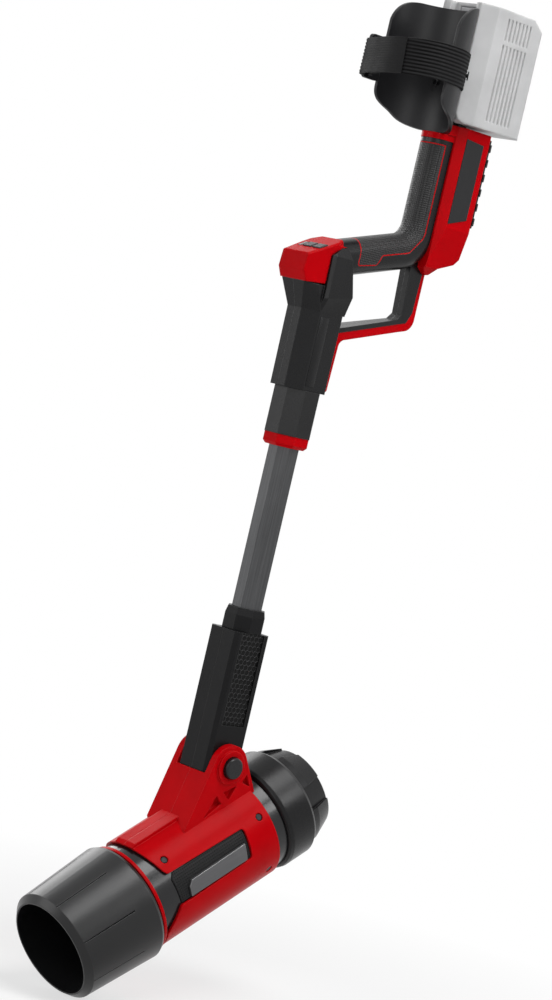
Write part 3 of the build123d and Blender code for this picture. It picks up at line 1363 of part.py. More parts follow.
# Battery: slides down over the rail onto the contacts
battery_foot = HOUSING_TOP + BATTERY_LIFT
battery_top = battery_foot + BATTERY_TALL
battery_front = mount_back - MOVING_GAP
battery_rear = battery_front - BATTERY_DEEP
groove_mid = battery_rear + BATTERY_DEEP * 0.49
GROOVE_LIFT = 9
UPPER_GROOVE_TALL = 22
UPPER_GROOVE_LIFT = 92
RELEASE_DEEP = 9
release_foot = battery_top - RELEASE_TALL - 4
with BuildPart() as battery_case:
    with BuildSketch(Plane.XY.offset(battery_foot)):
        outline(
            (battery_rear, -BATTERY_HALF),
            (battery_front - BATTERY_BEVEL, -BATTERY_HALF),
            (battery_front + BATTERY_CHEEK, -BATTERY_CHEEK_HALF),
            (battery_front + BATTERY_CHEEK, BATTERY_CHEEK_HALF),
            (battery_front - BATTERY_BEVEL, BATTERY_HALF),
            (battery_rear, BATTERY_HALF),
        )
    extrude(amount=BATTERY_TALL)
    fillet(battery_case.edges().filter_by(Axis.Z).group_by(Axis.X)[0], BATTERY_ROUND)
    with BuildSketch(Plane.XZ):
        outline(
            (battery_rear, battery_foot),
            (battery_front + BATTERY_CHEEK - BATTERY_TOE, battery_foot),
            (battery_front + BATTERY_CHEEK - 0.3 * BATTERY_TOE, battery_foot + 0.3 * BATTERY_TOE),
            (battery_front + BATTERY_CHEEK, battery_foot + BATTERY_TOE),
            (battery_front + BATTERY_CHEEK, battery_top),
            (battery_rear + BATTERY_SLOPE_RUN, battery_top),
            (battery_rear, battery_top - BATTERY_SLOPE_DROP),
        )
    extrude(amount=BATTERY_HALF, both=True, mode=Mode.INTERSECT)
    with BuildSketch(Plane.XY.offset(battery_foot)):
        with Locations((CUFF_X, 0)):
            Circle(CUFF_R + 2 * MOVING_GAP)
        with Locations((battery_front + BATTERY_CHEEK, 0)):
            Rectangle(2 * BATTERY_CHEEK, 2 * (MOUNT_HALF + MOVING_GAP))
    extrude(amount=BATTERY_TALL, mode=Mode.SUBTRACT)
    for sign in (1, -1):
        with BuildSketch(Plane.XZ.offset(-sign * (BATTERY_HALF - GROOVE_DEEP))):
            with Locations((groove_mid, battery_foot + GROOVE_LIFT + GROOVE_TALL / 2)):
                with GridLocations(GROOVE_PITCH, 0, GROOVE_COUNT, 1):
                    Rectangle(GROOVE_WIDTH, GROOVE_TALL)
            with Locations((groove_mid, battery_foot + UPPER_GROOVE_LIFT + UPPER_GROOVE_TALL / 2)):
                with GridLocations(GROOVE_PITCH, 0, GROOVE_COUNT, 1):
                    Rectangle(GROOVE_WIDTH, UPPER_GROOVE_TALL)
        extrude(amount=-sign * GROOVE_DEEP, mode=Mode.SUBTRACT)
    with BuildSketch(Plane.XY.offset(battery_foot)):
        with Locations((mount_back - (RAIL_WEB - MOVING_GAP) / 2, 0)):
            Rectangle(RAIL_WEB - MOVING_GAP, 2 * (RAIL_WEB_HALF + MOVING_GAP))
        with Locations((rail_web_back - RAIL_HEAD / 2, 0)):
            Rectangle(RAIL_HEAD + 2 * MOVING_GAP, 2 * (RAIL_HEAD_HALF + MOVING_GAP))
    extrude(amount=RAIL_HEIGHT - BATTERY_LIFT + 1, mode=Mode.SUBTRACT)
    with BuildSketch(Plane.XY.offset(battery_foot)):
        with Locations((terminal_x - 1, 0)):
            Rectangle(TERMINAL_DEEP + 8, TERMINAL_COUNT * TERMINAL_PITCH + 4)
    extrude(amount=TERMINAL_TALL + 2, mode=Mode.SUBTRACT)
    with BuildSketch(Plane.YZ.offset(battery_front)):
        with Locations((0, release_foot + RELEASE_TALL / 2)):
            Rectangle(2 * (RELEASE_HALF + MOVING_GAP), RELEASE_TALL + 2 * MOVING_GAP)
    extrude(amount=-RELEASE_DEEP, mode=Mode.SUBTRACT)
save(battery_case, "battery_case")

# Release key at the battery's upper front edge, pressed in to free the rail
with BuildPart() as battery_release:
    with BuildSketch(Plane.YZ.offset(battery_front - RELEASE_DEEP + RELEASE_TRAVEL + MOVING_GAP)):
        with Locations((0, release_foot + RELEASE_TALL / 2)):
            Rectangle(2 * RELEASE_HALF, RELEASE_TALL)
    extrude(amount=RELEASE_DEEP - RELEASE_TRAVEL - MOVING_GAP)
    chamfer(battery_release.edges().group_by(Axis.X)[-1], 1)
save(battery_release, "battery_release")

# Cuff: an open trough for the forearm, screwed to the battery mount
CUFF_WING_FOOT = 168
CUFF_CORNER_RUN = 30
CUFF_CORNER_DROP = 24
CUFF_HEM_RUN = 47
strap_mid = STRAP_FOOT + STRAP_WIDE / 2
rivet_out = Vector(cos(radians(RIVET_ANGLE)), sin(radians(RIVET_ANGLE)))


def rivet_plane(radius):
    """Plane square to the rivet, at a radius of the cuff."""
    return Plane(origin=(CUFF_X + rivet_out.X * radius, rivet_out.Y * radius, strap_mid), z_dir=rivet_out)


with BuildPart() as cuff:
    with BuildSketch(Plane.XY.offset(CUFF_FOOT)):
        with Locations((CUFF_X, 0)):
            Circle(CUFF_R)
            Circle(CUFF_R - CUFF_WALL, mode=Mode.SUBTRACT)
    extrude(amount=CUFF_TOP - CUFF_FOOT)
    with BuildSketch(Plane.XZ):
        with BuildLine():
            back = CUFF_X - CUFF_R - 1
            brim = Line((back, CUFF_TOP), (CUFF_RIM - CUFF_CORNER_RUN, CUFF_TOP))
            corner = TangentArc(brim @ 1, (CUFF_RIM, CUFF_TOP - CUFF_CORNER_DROP), tangent=brim % 1)
            rim = Line(corner @ 1, (CUFF_RIM, CUFF_WING_FOOT))
            hem = CUFF_WING_FOOT - CUFF_FOOT
            sweep_edge = Spline(
                rim @ 1,
                (CUFF_RIM - 0.15 * CUFF_HEM_RUN, CUFF_FOOT + 0.58 * hem),
                (CUFF_RIM - 0.47 * CUFF_HEM_RUN, CUFF_FOOT + 0.34 * hem),
                (CUFF_RIM - CUFF_HEM_RUN, CUFF_FOOT),
                tangents=((0, -1), (-1, -0.2)),
            )
            Polyline(sweep_edge @ 1, (back, CUFF_FOOT), brim @ 0)
        make_face()
    extrude(amount=2 * CUFF_R, both=True, mode=Mode.INTERSECT)
    with BuildSketch(Plane.YZ.offset(mount_front - 1)):
        with Locations(*cuff_screw_spots):
            Circle(SCREW_R + FIT)
    extrude(amount=CUFF_WALL + 8, mode=Mode.SUBTRACT)
    with BuildSketch(rivet_plane(CUFF_R - 2 * CUFF_WALL)):
        Circle(RIVET_R)
    extrude(amount=3 * CUFF_WALL, mode=Mode.SUBTRACT)
save(cuff, "cuff")

cuff_inside = CUFF_X - ((CUFF_R - CUFF_WALL) ** 2 - (CUFF_SCREW_OUT + SCREW_HEAD_R) ** 2) ** 0.5
with BuildPart() as cuff_screws:
    with BuildSketch(Plane.YZ.offset(mount_back + 0.5)):
        with Locations(*cuff_screw_spots):
            Circle(SCREW_R - RUNNING_FIT)
    extrude(amount=cuff_inside - mount_back)
    with BuildSketch(Plane.YZ.offset(cuff_inside)):
        with Locations(*cuff_screw_spots):
            Circle(SCREW_HEAD_R)
    extrude(amount=SCREW_HEAD)
save(cuff_screws, "cuff_screws")

# Strap ring: a plastic loop seated on the right wing's rim
ring_y = -(CUFF_R - CUFF_WALL / 2)
RING_ROOT = 11
ring_x = CUFF_RIM + RING_LONG / 2
with BuildPart() as strap_ring:
    with BuildSketch(Plane.XZ.offset(-ring_y - RING_BAR / 2)):
        with Locations((ring_x, strap_mid)):
            RectangleRounded(RING_LONG, STRAP_WIDE + 2 * RING_BAR + 1, RING_BAR)
        with Locations((CUFF_RIM + (RING_LONG - RING_BAR + RING_ROOT) / 2, strap_mid)):
            Rectangle(RING_LONG - RING_BAR - RING_ROOT, STRAP_WIDE + 1, mode=Mode.SUBTRACT)
    extrude(amount=RING_BAR)
save(strap_ring, "strap_ring")

# Strap: from the ring across the open front, then round the outside of the left wing
strap_r = CUFF_R + FIT + STRAP_THICK / 2
strap_start = (ring_x + RING_LONG / 2 + STRAP_THICK, ring_y)
with BuildPart() as strap:
    with BuildSketch(Plane.XY.offset(STRAP_FOOT)):
        with BuildLine():
            wrap = CenterArc((CUFF_X, 0), strap_r, WRAP_START, WRAP_END - WRAP_START)
            Spline(wrap @ 0, (STRAP_BULGE, 0), strap_start, tangents=((wrap % 0) * -1, (-1, -1)))
        trace(line_width=STRAP_THICK)
    extrude(amount=STRAP_WIDE)
    with BuildSketch(rivet_plane(CUFF_R - CUFF_WALL)):
        Circle(RIVET_R)
    extrude(amount=2 * CUFF_WALL + STRAP_THICK, mode=Mode.SUBTRACT)
save(strap, "strap")

# Rivet that holds the strap's end on the left wing
with BuildPart() as strap_rivet:
    with BuildSketch(rivet_plane(CUFF_R - CUFF_WALL)):
        Circle(RIVET_R)
    extrude(amount=CUFF_WALL + FIT + STRAP_THICK)
    with BuildSketch(rivet_plane(CUFF_R + FIT + STRAP_THICK)):
        Circle(RIVET_HEAD_R)
    extrude(amount=RIVET_HEAD)
save(strap_rivet, "strap_rivet")
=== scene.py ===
from math import cos, radians, sin, tau

import bpy
from mathutils import Matrix, Vector


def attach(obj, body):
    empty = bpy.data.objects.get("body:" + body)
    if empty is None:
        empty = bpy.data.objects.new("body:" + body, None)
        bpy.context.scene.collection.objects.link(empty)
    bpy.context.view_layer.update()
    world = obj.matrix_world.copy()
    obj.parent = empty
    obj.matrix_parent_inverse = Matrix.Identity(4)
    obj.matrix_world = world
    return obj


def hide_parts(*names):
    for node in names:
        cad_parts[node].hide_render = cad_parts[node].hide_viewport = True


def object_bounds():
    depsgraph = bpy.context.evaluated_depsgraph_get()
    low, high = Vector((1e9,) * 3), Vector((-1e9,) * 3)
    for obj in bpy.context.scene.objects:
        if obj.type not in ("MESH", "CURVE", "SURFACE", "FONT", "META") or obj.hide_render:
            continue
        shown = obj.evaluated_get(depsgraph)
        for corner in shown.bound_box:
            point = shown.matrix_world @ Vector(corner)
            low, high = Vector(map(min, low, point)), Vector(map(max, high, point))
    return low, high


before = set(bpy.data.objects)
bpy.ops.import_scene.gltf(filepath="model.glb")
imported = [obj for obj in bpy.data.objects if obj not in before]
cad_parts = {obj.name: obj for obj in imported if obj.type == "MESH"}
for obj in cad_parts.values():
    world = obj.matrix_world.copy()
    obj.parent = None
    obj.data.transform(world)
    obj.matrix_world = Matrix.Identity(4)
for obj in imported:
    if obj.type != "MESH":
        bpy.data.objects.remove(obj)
cad_box = [list(corner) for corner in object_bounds()]

# Fan unit: a nine-bladed fan on the shaft of a small motor, in a pod that vanes hold in the duct's middle.
# Fan, pod and tail cone are black glass-filled nylon with a dry skin, seen through the mouth and the guard.
# Motor, bearings and shaft are turned steel.


class Tone:
    """A socket of a material's nodes. Sums written on it add Math nodes."""

    def __init__(self, tree, socket=None):
        self.tree = tree
        self.socket = socket

    def node(self, kind, settings=None, sockets=None, output=0):
        """Adds a node: its settings first, then the values or links of its sockets."""
        made = self.tree.nodes.new(kind)
        for name, value in (settings or {}).items():
            setattr(made, name, value)
        for name, value in (sockets or {}).items():
            if isinstance(value, Tone):
                self.tree.links.new(value.socket, made.inputs[name])
            else:
                made.inputs[name].default_value = value
        return Tone(self.tree, made.outputs[output])

    def sibling(self, output):
        """Another output of the same node."""
        return Tone(self.tree, self.socket.node.outputs[output])

    def math(self, operation, *values):
        return self.node("ShaderNodeMath", {"operation": operation}, dict(enumerate(values)))

    def __add__(self, other):
        return self.math("ADD", self, other)

    def __sub__(self, other):
        return self.math("SUBTRACT", self, other)

    def __rsub__(self, other):
        return self.math("SUBTRACT", other, self)

    def __mul__(self, other):
        return self.math("MULTIPLY", self, other)

    def __truediv__(self, other):
        return self.math("DIVIDE", self, other)

    def __lt__(self, other):
        return self.math("LESS_THAN", self, other)

    __radd__ = __add__
    __rmul__ = __mul__

    def clamped(self):
        return self.node("ShaderNodeClamp", None, {"Value": self})

    def mix(self, low, high):
        """A colour between low and high, by this value."""
        return self.node("ShaderNodeMix", {"data_type": "RGBA"}, {0: self, 6: low, 7: high}, 2)


CLOUD_SCALE, CLOUD_DARK, CLOUD_PALE = 28.0, 0.8, 1.18
CLOUD_ROUGH, SPARK_ROUGH, SPARK_RISE = 0.14, 0.1, 0.12
EDGE_WEAR_AND_HIGHLIGHT = 3
COAT_ROUGH = 0.18


def moulded(
    name,
    colour,
    rubbed_and_highlight_colour,
    rough,
    grain=1400.0,
    lift=0.00006,
    metal=0.0,
    coat=0.0,
    sheen=0.22,
    pattern=None,
    hollow_shade_and_line_tone=0.35,
    edge_round=0.0011,
):
    """A moulded finish: faint clouds in the colour, a fine spark grain and paler edges, partly rubbed wear
    and partly a painted highlight.
    pattern(place, tone) may give a height and a shade mask of its own; hollow_shade_and_line_tone is the
    colour share of its deep places: painted shade in holes, cells and grooves, and the darker tone of drawn
    and brushed lines."""
    material = bpy.data.materials.new(name)
    material.use_nodes = True
    tree = material.node_tree
    tone = Tone(tree)
    shader = tree.nodes["Principled BSDF"]
    shader.inputs["Metallic"].default_value = metal
    shader.inputs["Coat Weight"].default_value = coat
    shader.inputs["Coat Roughness"].default_value = COAT_ROUGH
    shader.inputs["Specular IOR Level"].default_value = sheen
    place = tone.node("ShaderNodeTexCoord", output="Object")
    clouds = tone.node("ShaderNodeTexNoise", None, {"Vector": place, "Scale": CLOUD_SCALE, "Detail": 4.0})
    spark = tone.node("ShaderNodeTexNoise", None, {"Vector": place, "Scale": grain, "Detail": 2.0})
    rounded = tone.node("ShaderNodeBevel", {"samples": 6}, {"Radius": edge_round})
    facing = tone.node("ShaderNodeNewGeometry", output="Normal")
    turned = tone.node("ShaderNodeVectorMath", {"operation": "DOT_PRODUCT"}, {0: rounded, 1: facing}, "Value")
    # Paler edges: the rubbed colour along rounded edges is partly wear and partly a painted highlight.
    edge_wear_and_highlight = ((1 - turned) * EDGE_WEAR_AND_HIGHLIGHT * clouds).clamped()
    deep = tuple(CLOUD_DARK * c for c in colour[:3]) + (1,)
    pale = tuple(min(1.0, CLOUD_PALE * c) for c in colour[:3]) + (1,)
    skin = clouds.mix(deep, pale)
    height = spark
    if pattern:
        height, shade = pattern(place, tone)
        height = height + spark * SPARK_RISE
        # Painted shade: the pattern's deep places take the darker hollow colour; on drawn and brushed lines
        # it is their own darker tone.
        skin = shade.mix(tuple(hollow_shade_and_line_tone * c for c in colour[:3]) + (1,), skin)
    skin = edge_wear_and_highlight.mix(skin, rubbed_and_highlight_colour)
    bump = tone.node(
        "ShaderNodeBump", None, {"Strength": 1.0, "Distance": lift, "Height": height, "Normal": rounded}
    )
    rough_skin = rough + (clouds - 0.5) * CLOUD_ROUGH + (spark - 0.5) * SPARK_ROUGH
    tree.links.new(skin.socket, shader.inputs["Base Color"])
    tree.links.new(rough_skin.socket, shader.inputs["Roughness"])
    tree.links.new(bump.socket, shader.inputs["Normal"])
    return material


def dress(finish, *names):
    """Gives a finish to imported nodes."""
    for name in names:
        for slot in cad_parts[name].material_slots:
            slot.material = finish


fan_nylon = moulded("fan_nylon", (0.012, 0.012, 0.013, 1), (0.04, 0.04, 0.042, 1), rough=0.5)
dress(fan_nylon, "fan_rotor", "motor_pod", "tail_cone")
turned_steel = moulded(
    "turned_steel",
    (0.42, 0.42, 0.43, 1),
    (0.7, 0.7, 0.7, 1),
    rough=0.32,
    grain=900.0,
    lift=0.00003,
    metal=1.0,
)
dress(turned_steel, "motor", "shaft_bearings", "fan_shaft")

# Barrel and nozzle: the duct is a smooth, polished black tube that shows between the shell and the nozzle.
# The nozzle is a soft black outlet with thin slits, pushed over the barrel; a thin red ring marks its stop.
polished_black = moulded(
    "polished_black",
    (0.008, 0.008, 0.009, 1),
    (0.04, 0.04, 0.04, 1),
    rough=0.22,
    grain=300.0,
    lift=0.00001,
    coat=0.25,
)
dress(polished_black, "barrel")
soft_outlet = moulded(
    "soft_outlet",
    (0.006, 0.006, 0.0065, 1),
    (0.05, 0.05, 0.052, 1),
    rough=0.32,
    grain=800.0,
    lift=0.00005,
    sheen=0.35,
)
dress(soft_outlet, "nozzle")
red_moulding = moulded(
    "red_moulding",
    (0.47, 0.0004, 0.003, 1),
    (0.7, 0.03, 0.032, 1),
    rough=0.3,
    grain=1500.0,
    lift=0.00003,
    sheen=0.035,
    edge_round=0.0016,
)
dress(red_moulding, "nozzle_ring")

# Head shell: two red moulded halves screwed round the barrel, with the ears of the hinge.
# Each side has a window with a black grille of small holes, painted dark inside as their shade, and a bare
# badge of brushed grey metal.
# The screws are blackened steel, made darker still as painted shade for their deep holes.
dress(red_moulding, "head_shell_left", "head_shell_right")
HEAD_TILT = radians(32.5)
along = Vector((cos(HEAD_TILT), 0, -sin(HEAD_TILT)))
across = Vector((sin(HEAD_TILT), 0, cos(HEAD_TILT)))
HOLE_PITCH = 0.0026
HOLE_STEEP = 9


def distance(place, tone, direction):
    """How far a place lies along a direction, in metres."""
    return tone.node("ShaderNodeVectorMath", {"operation": "DOT_PRODUCT"}, {0: place, 1: direction}, "Value")


def pierced(place, tone):
    """Rows of small round holes along the head, with painted shade in the holes."""
    u = tone.math("FRACT", distance(place, tone, along) / HOLE_PITCH) - 0.5
    v = tone.math("FRACT", distance(place, tone, across) / HOLE_PITCH) - 0.5
    wall = ((u * u + v * v) * HOLE_STEEP).clamped()
    return wall, wall


grille_black = moulded(
    "grille_black",
    (0.014, 0.014, 0.0145, 1),
    (0.05, 0.05, 0.05, 1),
    rough=0.4,
    lift=0.0005,
    sheen=0.12,
    pattern=pierced,
    hollow_shade_and_line_tone=0.03,
)
dress(grille_black, "side_grille_left", "side_grille_right")
BRUSH_LONG, BRUSH_FINE = 25, 1500


def brushed(place, tone):
    """Fine lines drawn along the head: runs along it count little and those across it much."""
    stretched = tone.node(
        "ShaderNodeCombineXYZ",
        None,
        {
            "X": distance(place, tone, along) * BRUSH_LONG,
            "Y": distance(place, tone, across) * BRUSH_FINE,
            "Z": 0.0,
        },
    )
    lines = tone.node("ShaderNodeTexNoise", None, {"Vector": stretched, "Scale": 1.0, "Detail": 3.0})
    return lines, (lines * 0.5 + 0.6).clamped()


badge_grey = moulded(
    "badge_grey", (0.12, 0.12, 0.124, 1), (0.35, 0.35, 0.35, 1), rough=0.3, metal=0.6, pattern=brushed
)
dress(badge_grey, "badge_left", "badge_right")
# Painted shade: the screws' near-black colour also stands for the shade in their deep holes.
black_screw = moulded(
    "black_screw",
    (0.01, 0.01, 0.011, 1),
    (0.12, 0.12, 0.12, 1),
    rough=0.35,
    grain=1200.0,
    lift=0.00003,
    metal=0.6,
)
dress(black_screw, "head_screws")

# Intake: a black bell behind the shell and the guard over the fan's rear, both moulded in black nylon.
# Their satin skin is that of the other large black mouldings of the tool.
black_moulding = moulded(
    "black_moulding", (0.006, 0.006, 0.0065, 1), (0.06, 0.06, 0.062, 1), rough=0.28, sheen=0.2
)
dress(black_moulding, "intake_bell", "intake_guard")

# Hinge: a steel pin through the ears, with a black cap on the right and a sprung black button on the left.
# Cap and button are moulded with a smooth, faintly glossy skin; the spring is steel wire.
dress(turned_steel, "hinge_pin", "pivot_spring")
button_black = moulded(
    "button_black",
    (0.008, 0.008, 0.009, 1),
    (0.07, 0.07, 0.07, 1),
    rough=0.26,
    grain=1500.0,
    lift=0.00003,
    coat=0.1,
)
dress(button_black, "pivot_button", "pivot_cap")

# Arm: two dark moulded halves screwed together round the tube's socket, more matt than the handle.
# Panels of small hexagon cells are let into both sides; their cells carry painted shade.
arm_black = moulded("arm_black", (0.006, 0.006, 0.0065, 1), (0.05, 0.05, 0.05, 1), rough=0.33, sheen=0.11)
dress(arm_black, "arm_left", "arm_right", "tube_socket")
dress(black_screw, "arm_screws")
CELL, CELL_FLAT, WALL_STEEP = 0.0056, 0.36, 9
ROOT_3 = 3**0.5


def honeycomb(place, tone):
    """Hexagon cells, one wall apart, in the plane of the arm's side, with painted shade in the cells."""
    x_run = tone.node("ShaderNodeSeparateXYZ", None, {"Vector": place}, "X")
    column = x_run / CELL
    row = x_run.sibling("Z") / (CELL * ROOT_3)
    centres = []
    for shift in (0.0, 0.5):
        x = tone.math("FRACT", column + shift) - 0.5
        z = (tone.math("FRACT", row + shift) - 0.5) * ROOT_3
        centres.append((x, z, x * x + z * z))
    (x_0, z_0, far_0), (x_1, z_1, far_1) = centres
    near = far_0 < far_1
    x = tone.math("ABSOLUTE", x_0 * near + x_1 * (1 - near))
    z = tone.math("ABSOLUTE", z_0 * near + z_1 * (1 - near))
    out = tone.math("MAXIMUM", x, x * 0.5 + z * (ROOT_3 / 2))
    wall = ((out - CELL_FLAT) * WALL_STEEP).clamped()
    return wall, wall


pad_black = moulded(
    "pad_black",
    (0.022, 0.022, 0.023, 1),
    (0.06, 0.06, 0.06, 1),
    rough=0.45,
    lift=0.0006,
    sheen=0.12,
    pattern=honeycomb,
    hollow_shade_and_line_tone=0.03,
)
dress(pad_black, "arm_pad_left", "arm_pad_right")

# Tube: an octagonal aluminium pipe with a satin anthracite coat, drawn lengthwise.
# A red moulded collar and a dark satin sleeve close its upper end. The power cable runs inside it.
DRAWN_FINE, DRAWN_LONG = 900.0, 14.0


def drawn(place, tone):
    """Fine lines along the tube."""
    fine = tone.node(
        "ShaderNodeVectorMath",
        {"operation": "MULTIPLY"},
        {0: place, 1: (DRAWN_FINE, DRAWN_FINE, DRAWN_LONG)},
    )
    lines = tone.node("ShaderNodeTexNoise", None, {"Vector": fine, "Scale": 1.0, "Detail": 3.0})
    return lines, (lines * 1.1 + 0.25).clamped()


tube_coat = moulded(
    "tube_coat",
    (0.085, 0.086, 0.089, 1),
    (0.2, 0.2, 0.2, 1),
    rough=0.32,
    grain=900.0,
    metal=0.5,
    pattern=drawn,
    hollow_shade_and_line_tone=0.2,
)
tube_coat.node_tree.nodes["Principled BSDF"].inputs["Anisotropic"].default_value = 0.8
dress(tube_coat, "tube")
dress(red_moulding, "tube_collar")
sleeve_satin = moulded(
    "sleeve_satin", (0.008, 0.008, 0.0085, 1), (0.07, 0.07, 0.07, 1), rough=0.3, sheen=0.24
)
dress(sleeve_satin, "sleeve")
cable_black = moulded("cable_black", (0.02, 0.02, 0.02, 1), (0.04, 0.04, 0.04, 1), rough=0.5)
dress(cable_black, "power_cable")

# Handle: two black moulded shells, screwed together, that form the neck, the grip's core and the loop of the
# hand gap. A red band closes the loop's back edge.
dress(black_moulding, "handle_shell_left", "handle_shell_right")
dress(black_screw, "handle_screws")
dress(red_moulding, "spine_trim")

# Neck strips: a bare raised strip on each side of the neck, just behind its front bevel.
# Each is moulded in one with its handle shell, so it has the same satin skin.
NECK_SIDE = 0.021
STRIP_SIZE = (0.012, 0.0009, 0.070)
STRIP_X, STRIP_Z = 0.0685, -0.1105
STRIP_SOFT = 0.0004


def soften_edges(piece, width):
    """Rounds a piece's edges and smooths its shading."""
    soften = piece.modifiers.new("soften", "BEVEL")
    soften.width = width
    soften.segments = 2
    bpy.ops.object.modifier_apply(modifier="soften")
    bpy.ops.object.shade_smooth_by_angle(angle=radians(40))


for side, sign in (("left", 1), ("right", -1)):
    bpy.ops.object.select_all(action="DESELECT")
    bpy.ops.mesh.primitive_cube_add(size=1)
    strip = bpy.context.object
    strip.name = "neck_strip_" + side
    strip.data.name = strip.name
    bpy.ops.object.mode_set(mode="EDIT")
    bpy.ops.mesh.select_all(action="SELECT")
    bpy.ops.transform.resize(value=STRIP_SIZE)
    bpy.ops.transform.translate(value=(STRIP_X, sign * NECK_SIDE, STRIP_Z))
    bpy.ops.object.mode_set(mode="OBJECT")
    soften_edges(strip, STRIP_SOFT)
    strip.data.materials.append(black_moulding)
    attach(strip, "handle")

# Thumb panel: a red moulded cap pressed onto the neck, with two dark keys and a smoked window for the level
# lights. A small circuit board lies under it.
cap_red = moulded(
    "cap_red",
    (0.45, 0.0004, 0.003, 1),
    (0.6, 0.01, 0.012, 1),
    rough=0.3,
    grain=1500.0,
    lift=0.00003,
    sheen=0.035,
    edge_round=0.0025,
)
dress(cap_red, "control_cap")
key_black = moulded(
    "key_black", (0.03, 0.03, 0.032, 1), (0.1, 0.1, 0.1, 1), rough=0.34, grain=1500.0, lift=0.00003
)
dress(key_black, "power_button", "speed_button")
smoked_lens = moulded(
    "smoked_lens",
    (0.01, 0.01, 0.011, 1),
    (0.05, 0.05, 0.05, 1),
    rough=0.12,
    grain=400.0,
    lift=0.00001,
    coat=0.6,
)
dress(smoked_lens, "level_lens")
board_green = moulded("board_green", (0.01, 0.09, 0.03, 1), (0.05, 0.2, 0.08, 1), rough=0.35)
dress(board_green, "control_board")

# Grip: a soft black cover moulded over the handle's core, with a skin of small close-set dots and painted
# shade between them.
# A thin red line edges it all round.
DOT_PITCH = 0.0022


def dotted(place, tone):
    """Small close-set dots in rows, as on a sports grip, with painted shade between the dots."""
    x_run = tone.node("ShaderNodeSeparateXYZ", None, {"Vector": place}, "X")
    waves = [tone.math("SINE", x_run.sibling(axis) * (tau / DOT_PITCH)) for axis in ("X", "Y", "Z")]
    dome = ((waves[0] + waves[1] + waves[2]) * 0.3 + 0.5).clamped()
    return dome, (dome * 1.1 + 0.2).clamped()


grip_soft = moulded(
    "grip_soft",
    (0.028, 0.028, 0.0285, 1),
    (0.05, 0.05, 0.05, 1),
    rough=0.4,
    grain=2400.0,
    lift=0.0005,
    pattern=dotted,
    hollow_shade_and_line_tone=0.1,
)
dress(grip_soft, "grip_cover")
dress(red_moulding, "grip_piping")

# Battery housing: two red moulded shells behind the grip, screwed together.
# A bare dark plate with a dry skin is let into each side.
dress(red_moulding, "battery_housing_left", "battery_housing_right")
dress(black_screw, "housing_screws")
plate_grey = moulded(
    "plate_grey",
    (0.017, 0.017, 0.018, 1),
    (0.1, 0.1, 0.1, 1),
    rough=0.5,
    grain=1300.0,
    lift=0.0001,
    sheen=0.16,
)
dress(plate_grey, "label_plate_left", "label_plate_right")

# Rear vent: a black cover in the housing's back, which lets the warm air out.
# Its louvres stand a little proud of the back and reach almost to its corners.
dress(black_moulding, "rear_vent_cover")
VENT_BACK = -0.098
VENT_WIDE = 0.052
LOUVRE_FOOT, LOUVRE_PITCH, LOUVRES = 0.049, 0.01533, 6
VENT_HIGH = LOUVRES * LOUVRE_PITCH
BACKING_DEEP, BACKING_X = 0.0036, VENT_BACK - 0.0019
LOUVRE_DEEP, LOUVRE_X = 0.0054, VENT_BACK - 0.0029
LOUVRE_HIGH, LOUVRE_SEAT = 0.55 * LOUVRE_PITCH, 0.45
LOUVRE_SOFT = 0.0009
bpy.ops.object.select_all(action="DESELECT")
bpy.ops.mesh.primitive_cube_add(size=1)
louvres = bpy.context.object
louvres.name = "vent_louvres"
louvres.data.name = "vent_louvres"
bpy.ops.object.mode_set(mode="EDIT")
bpy.ops.mesh.select_all(action="SELECT")
bpy.ops.transform.resize(value=(BACKING_DEEP, VENT_WIDE, VENT_HIGH))
bpy.ops.transform.translate(value=(BACKING_X, 0, LOUVRE_FOOT + VENT_HIGH / 2))
for k in range(LOUVRES):
    bpy.ops.mesh.select_all(action="DESELECT")
    bpy.ops.mesh.primitive_cube_add(size=1)
    bpy.ops.transform.resize(value=(LOUVRE_DEEP, VENT_WIDE, LOUVRE_HIGH))
    bpy.ops.transform.translate(value=(LOUVRE_X, 0, LOUVRE_FOOT + (k + LOUVRE_SEAT) * LOUVRE_PITCH))
bpy.ops.object.mode_set(mode="OBJECT")
soften_edges(louvres, LOUVRE_SOFT)
louvres.data.materials.append(black_moulding)
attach(louvres, "handle")

# Battery: a pale grey moulded pack that slides down a black rail onto brass blades.
# Its release key is at the top.
dress(black_moulding, "battery_mount", "terminal_block")
blade_brass = moulded(
    "blade_brass",
    (0.7, 0.5, 0.2, 1),
    (0.85, 0.7, 0.4, 1),
    rough=0.25,
    grain=900.0,
    lift=0.00002,
    metal=1.0,
)
dress(blade_brass, "terminals")
battery_grey = moulded(
    "battery_grey",
    (0.49, 0.492, 0.496, 1),
    (0.85, 0.85, 0.85, 1),
    rough=0.42,
    grain=1200.0,
    lift=0.00005,
    edge_round=0.003,
)
dress(battery_grey, "battery_case")
release_grey = moulded("release_grey", (0.40, 0.40, 0.41, 1), (0.6, 0.6, 0.6, 1), rough=0.4)
dress(release_grey, "battery_release")

# Cuff: a black trough for the forearm, moulded in a slightly soft plastic and screwed to the battery mount.
# A ring on its right rim takes the strap; a blackened steel rivet holds the strap's other end.
cuff_black = moulded(
    "cuff_black", (0.01, 0.01, 0.011, 1), (0.06, 0.06, 0.06, 1), rough=0.36, grain=700.0, lift=0.00008
)
dress(cuff_black, "cuff", "strap_ring")
dress(black_screw, "cuff_screws", "strap_rivet")

# Strap: a ribbed black elastic band, with painted shade between its ribs, riveted to the left wing and folded
# round the ring's bar.
# Its free end is a smooth hook tape that lies back over the band.
BAND_WIDE = 0.036
BAND_THICK = 0.0015
BAND_MID, BAND_MID_Y = 0.1935, -0.02
BAND_SLANT = 0.055
RIBS = 10
RIB_RISE = 0.0006
RIB_ROWS = 4


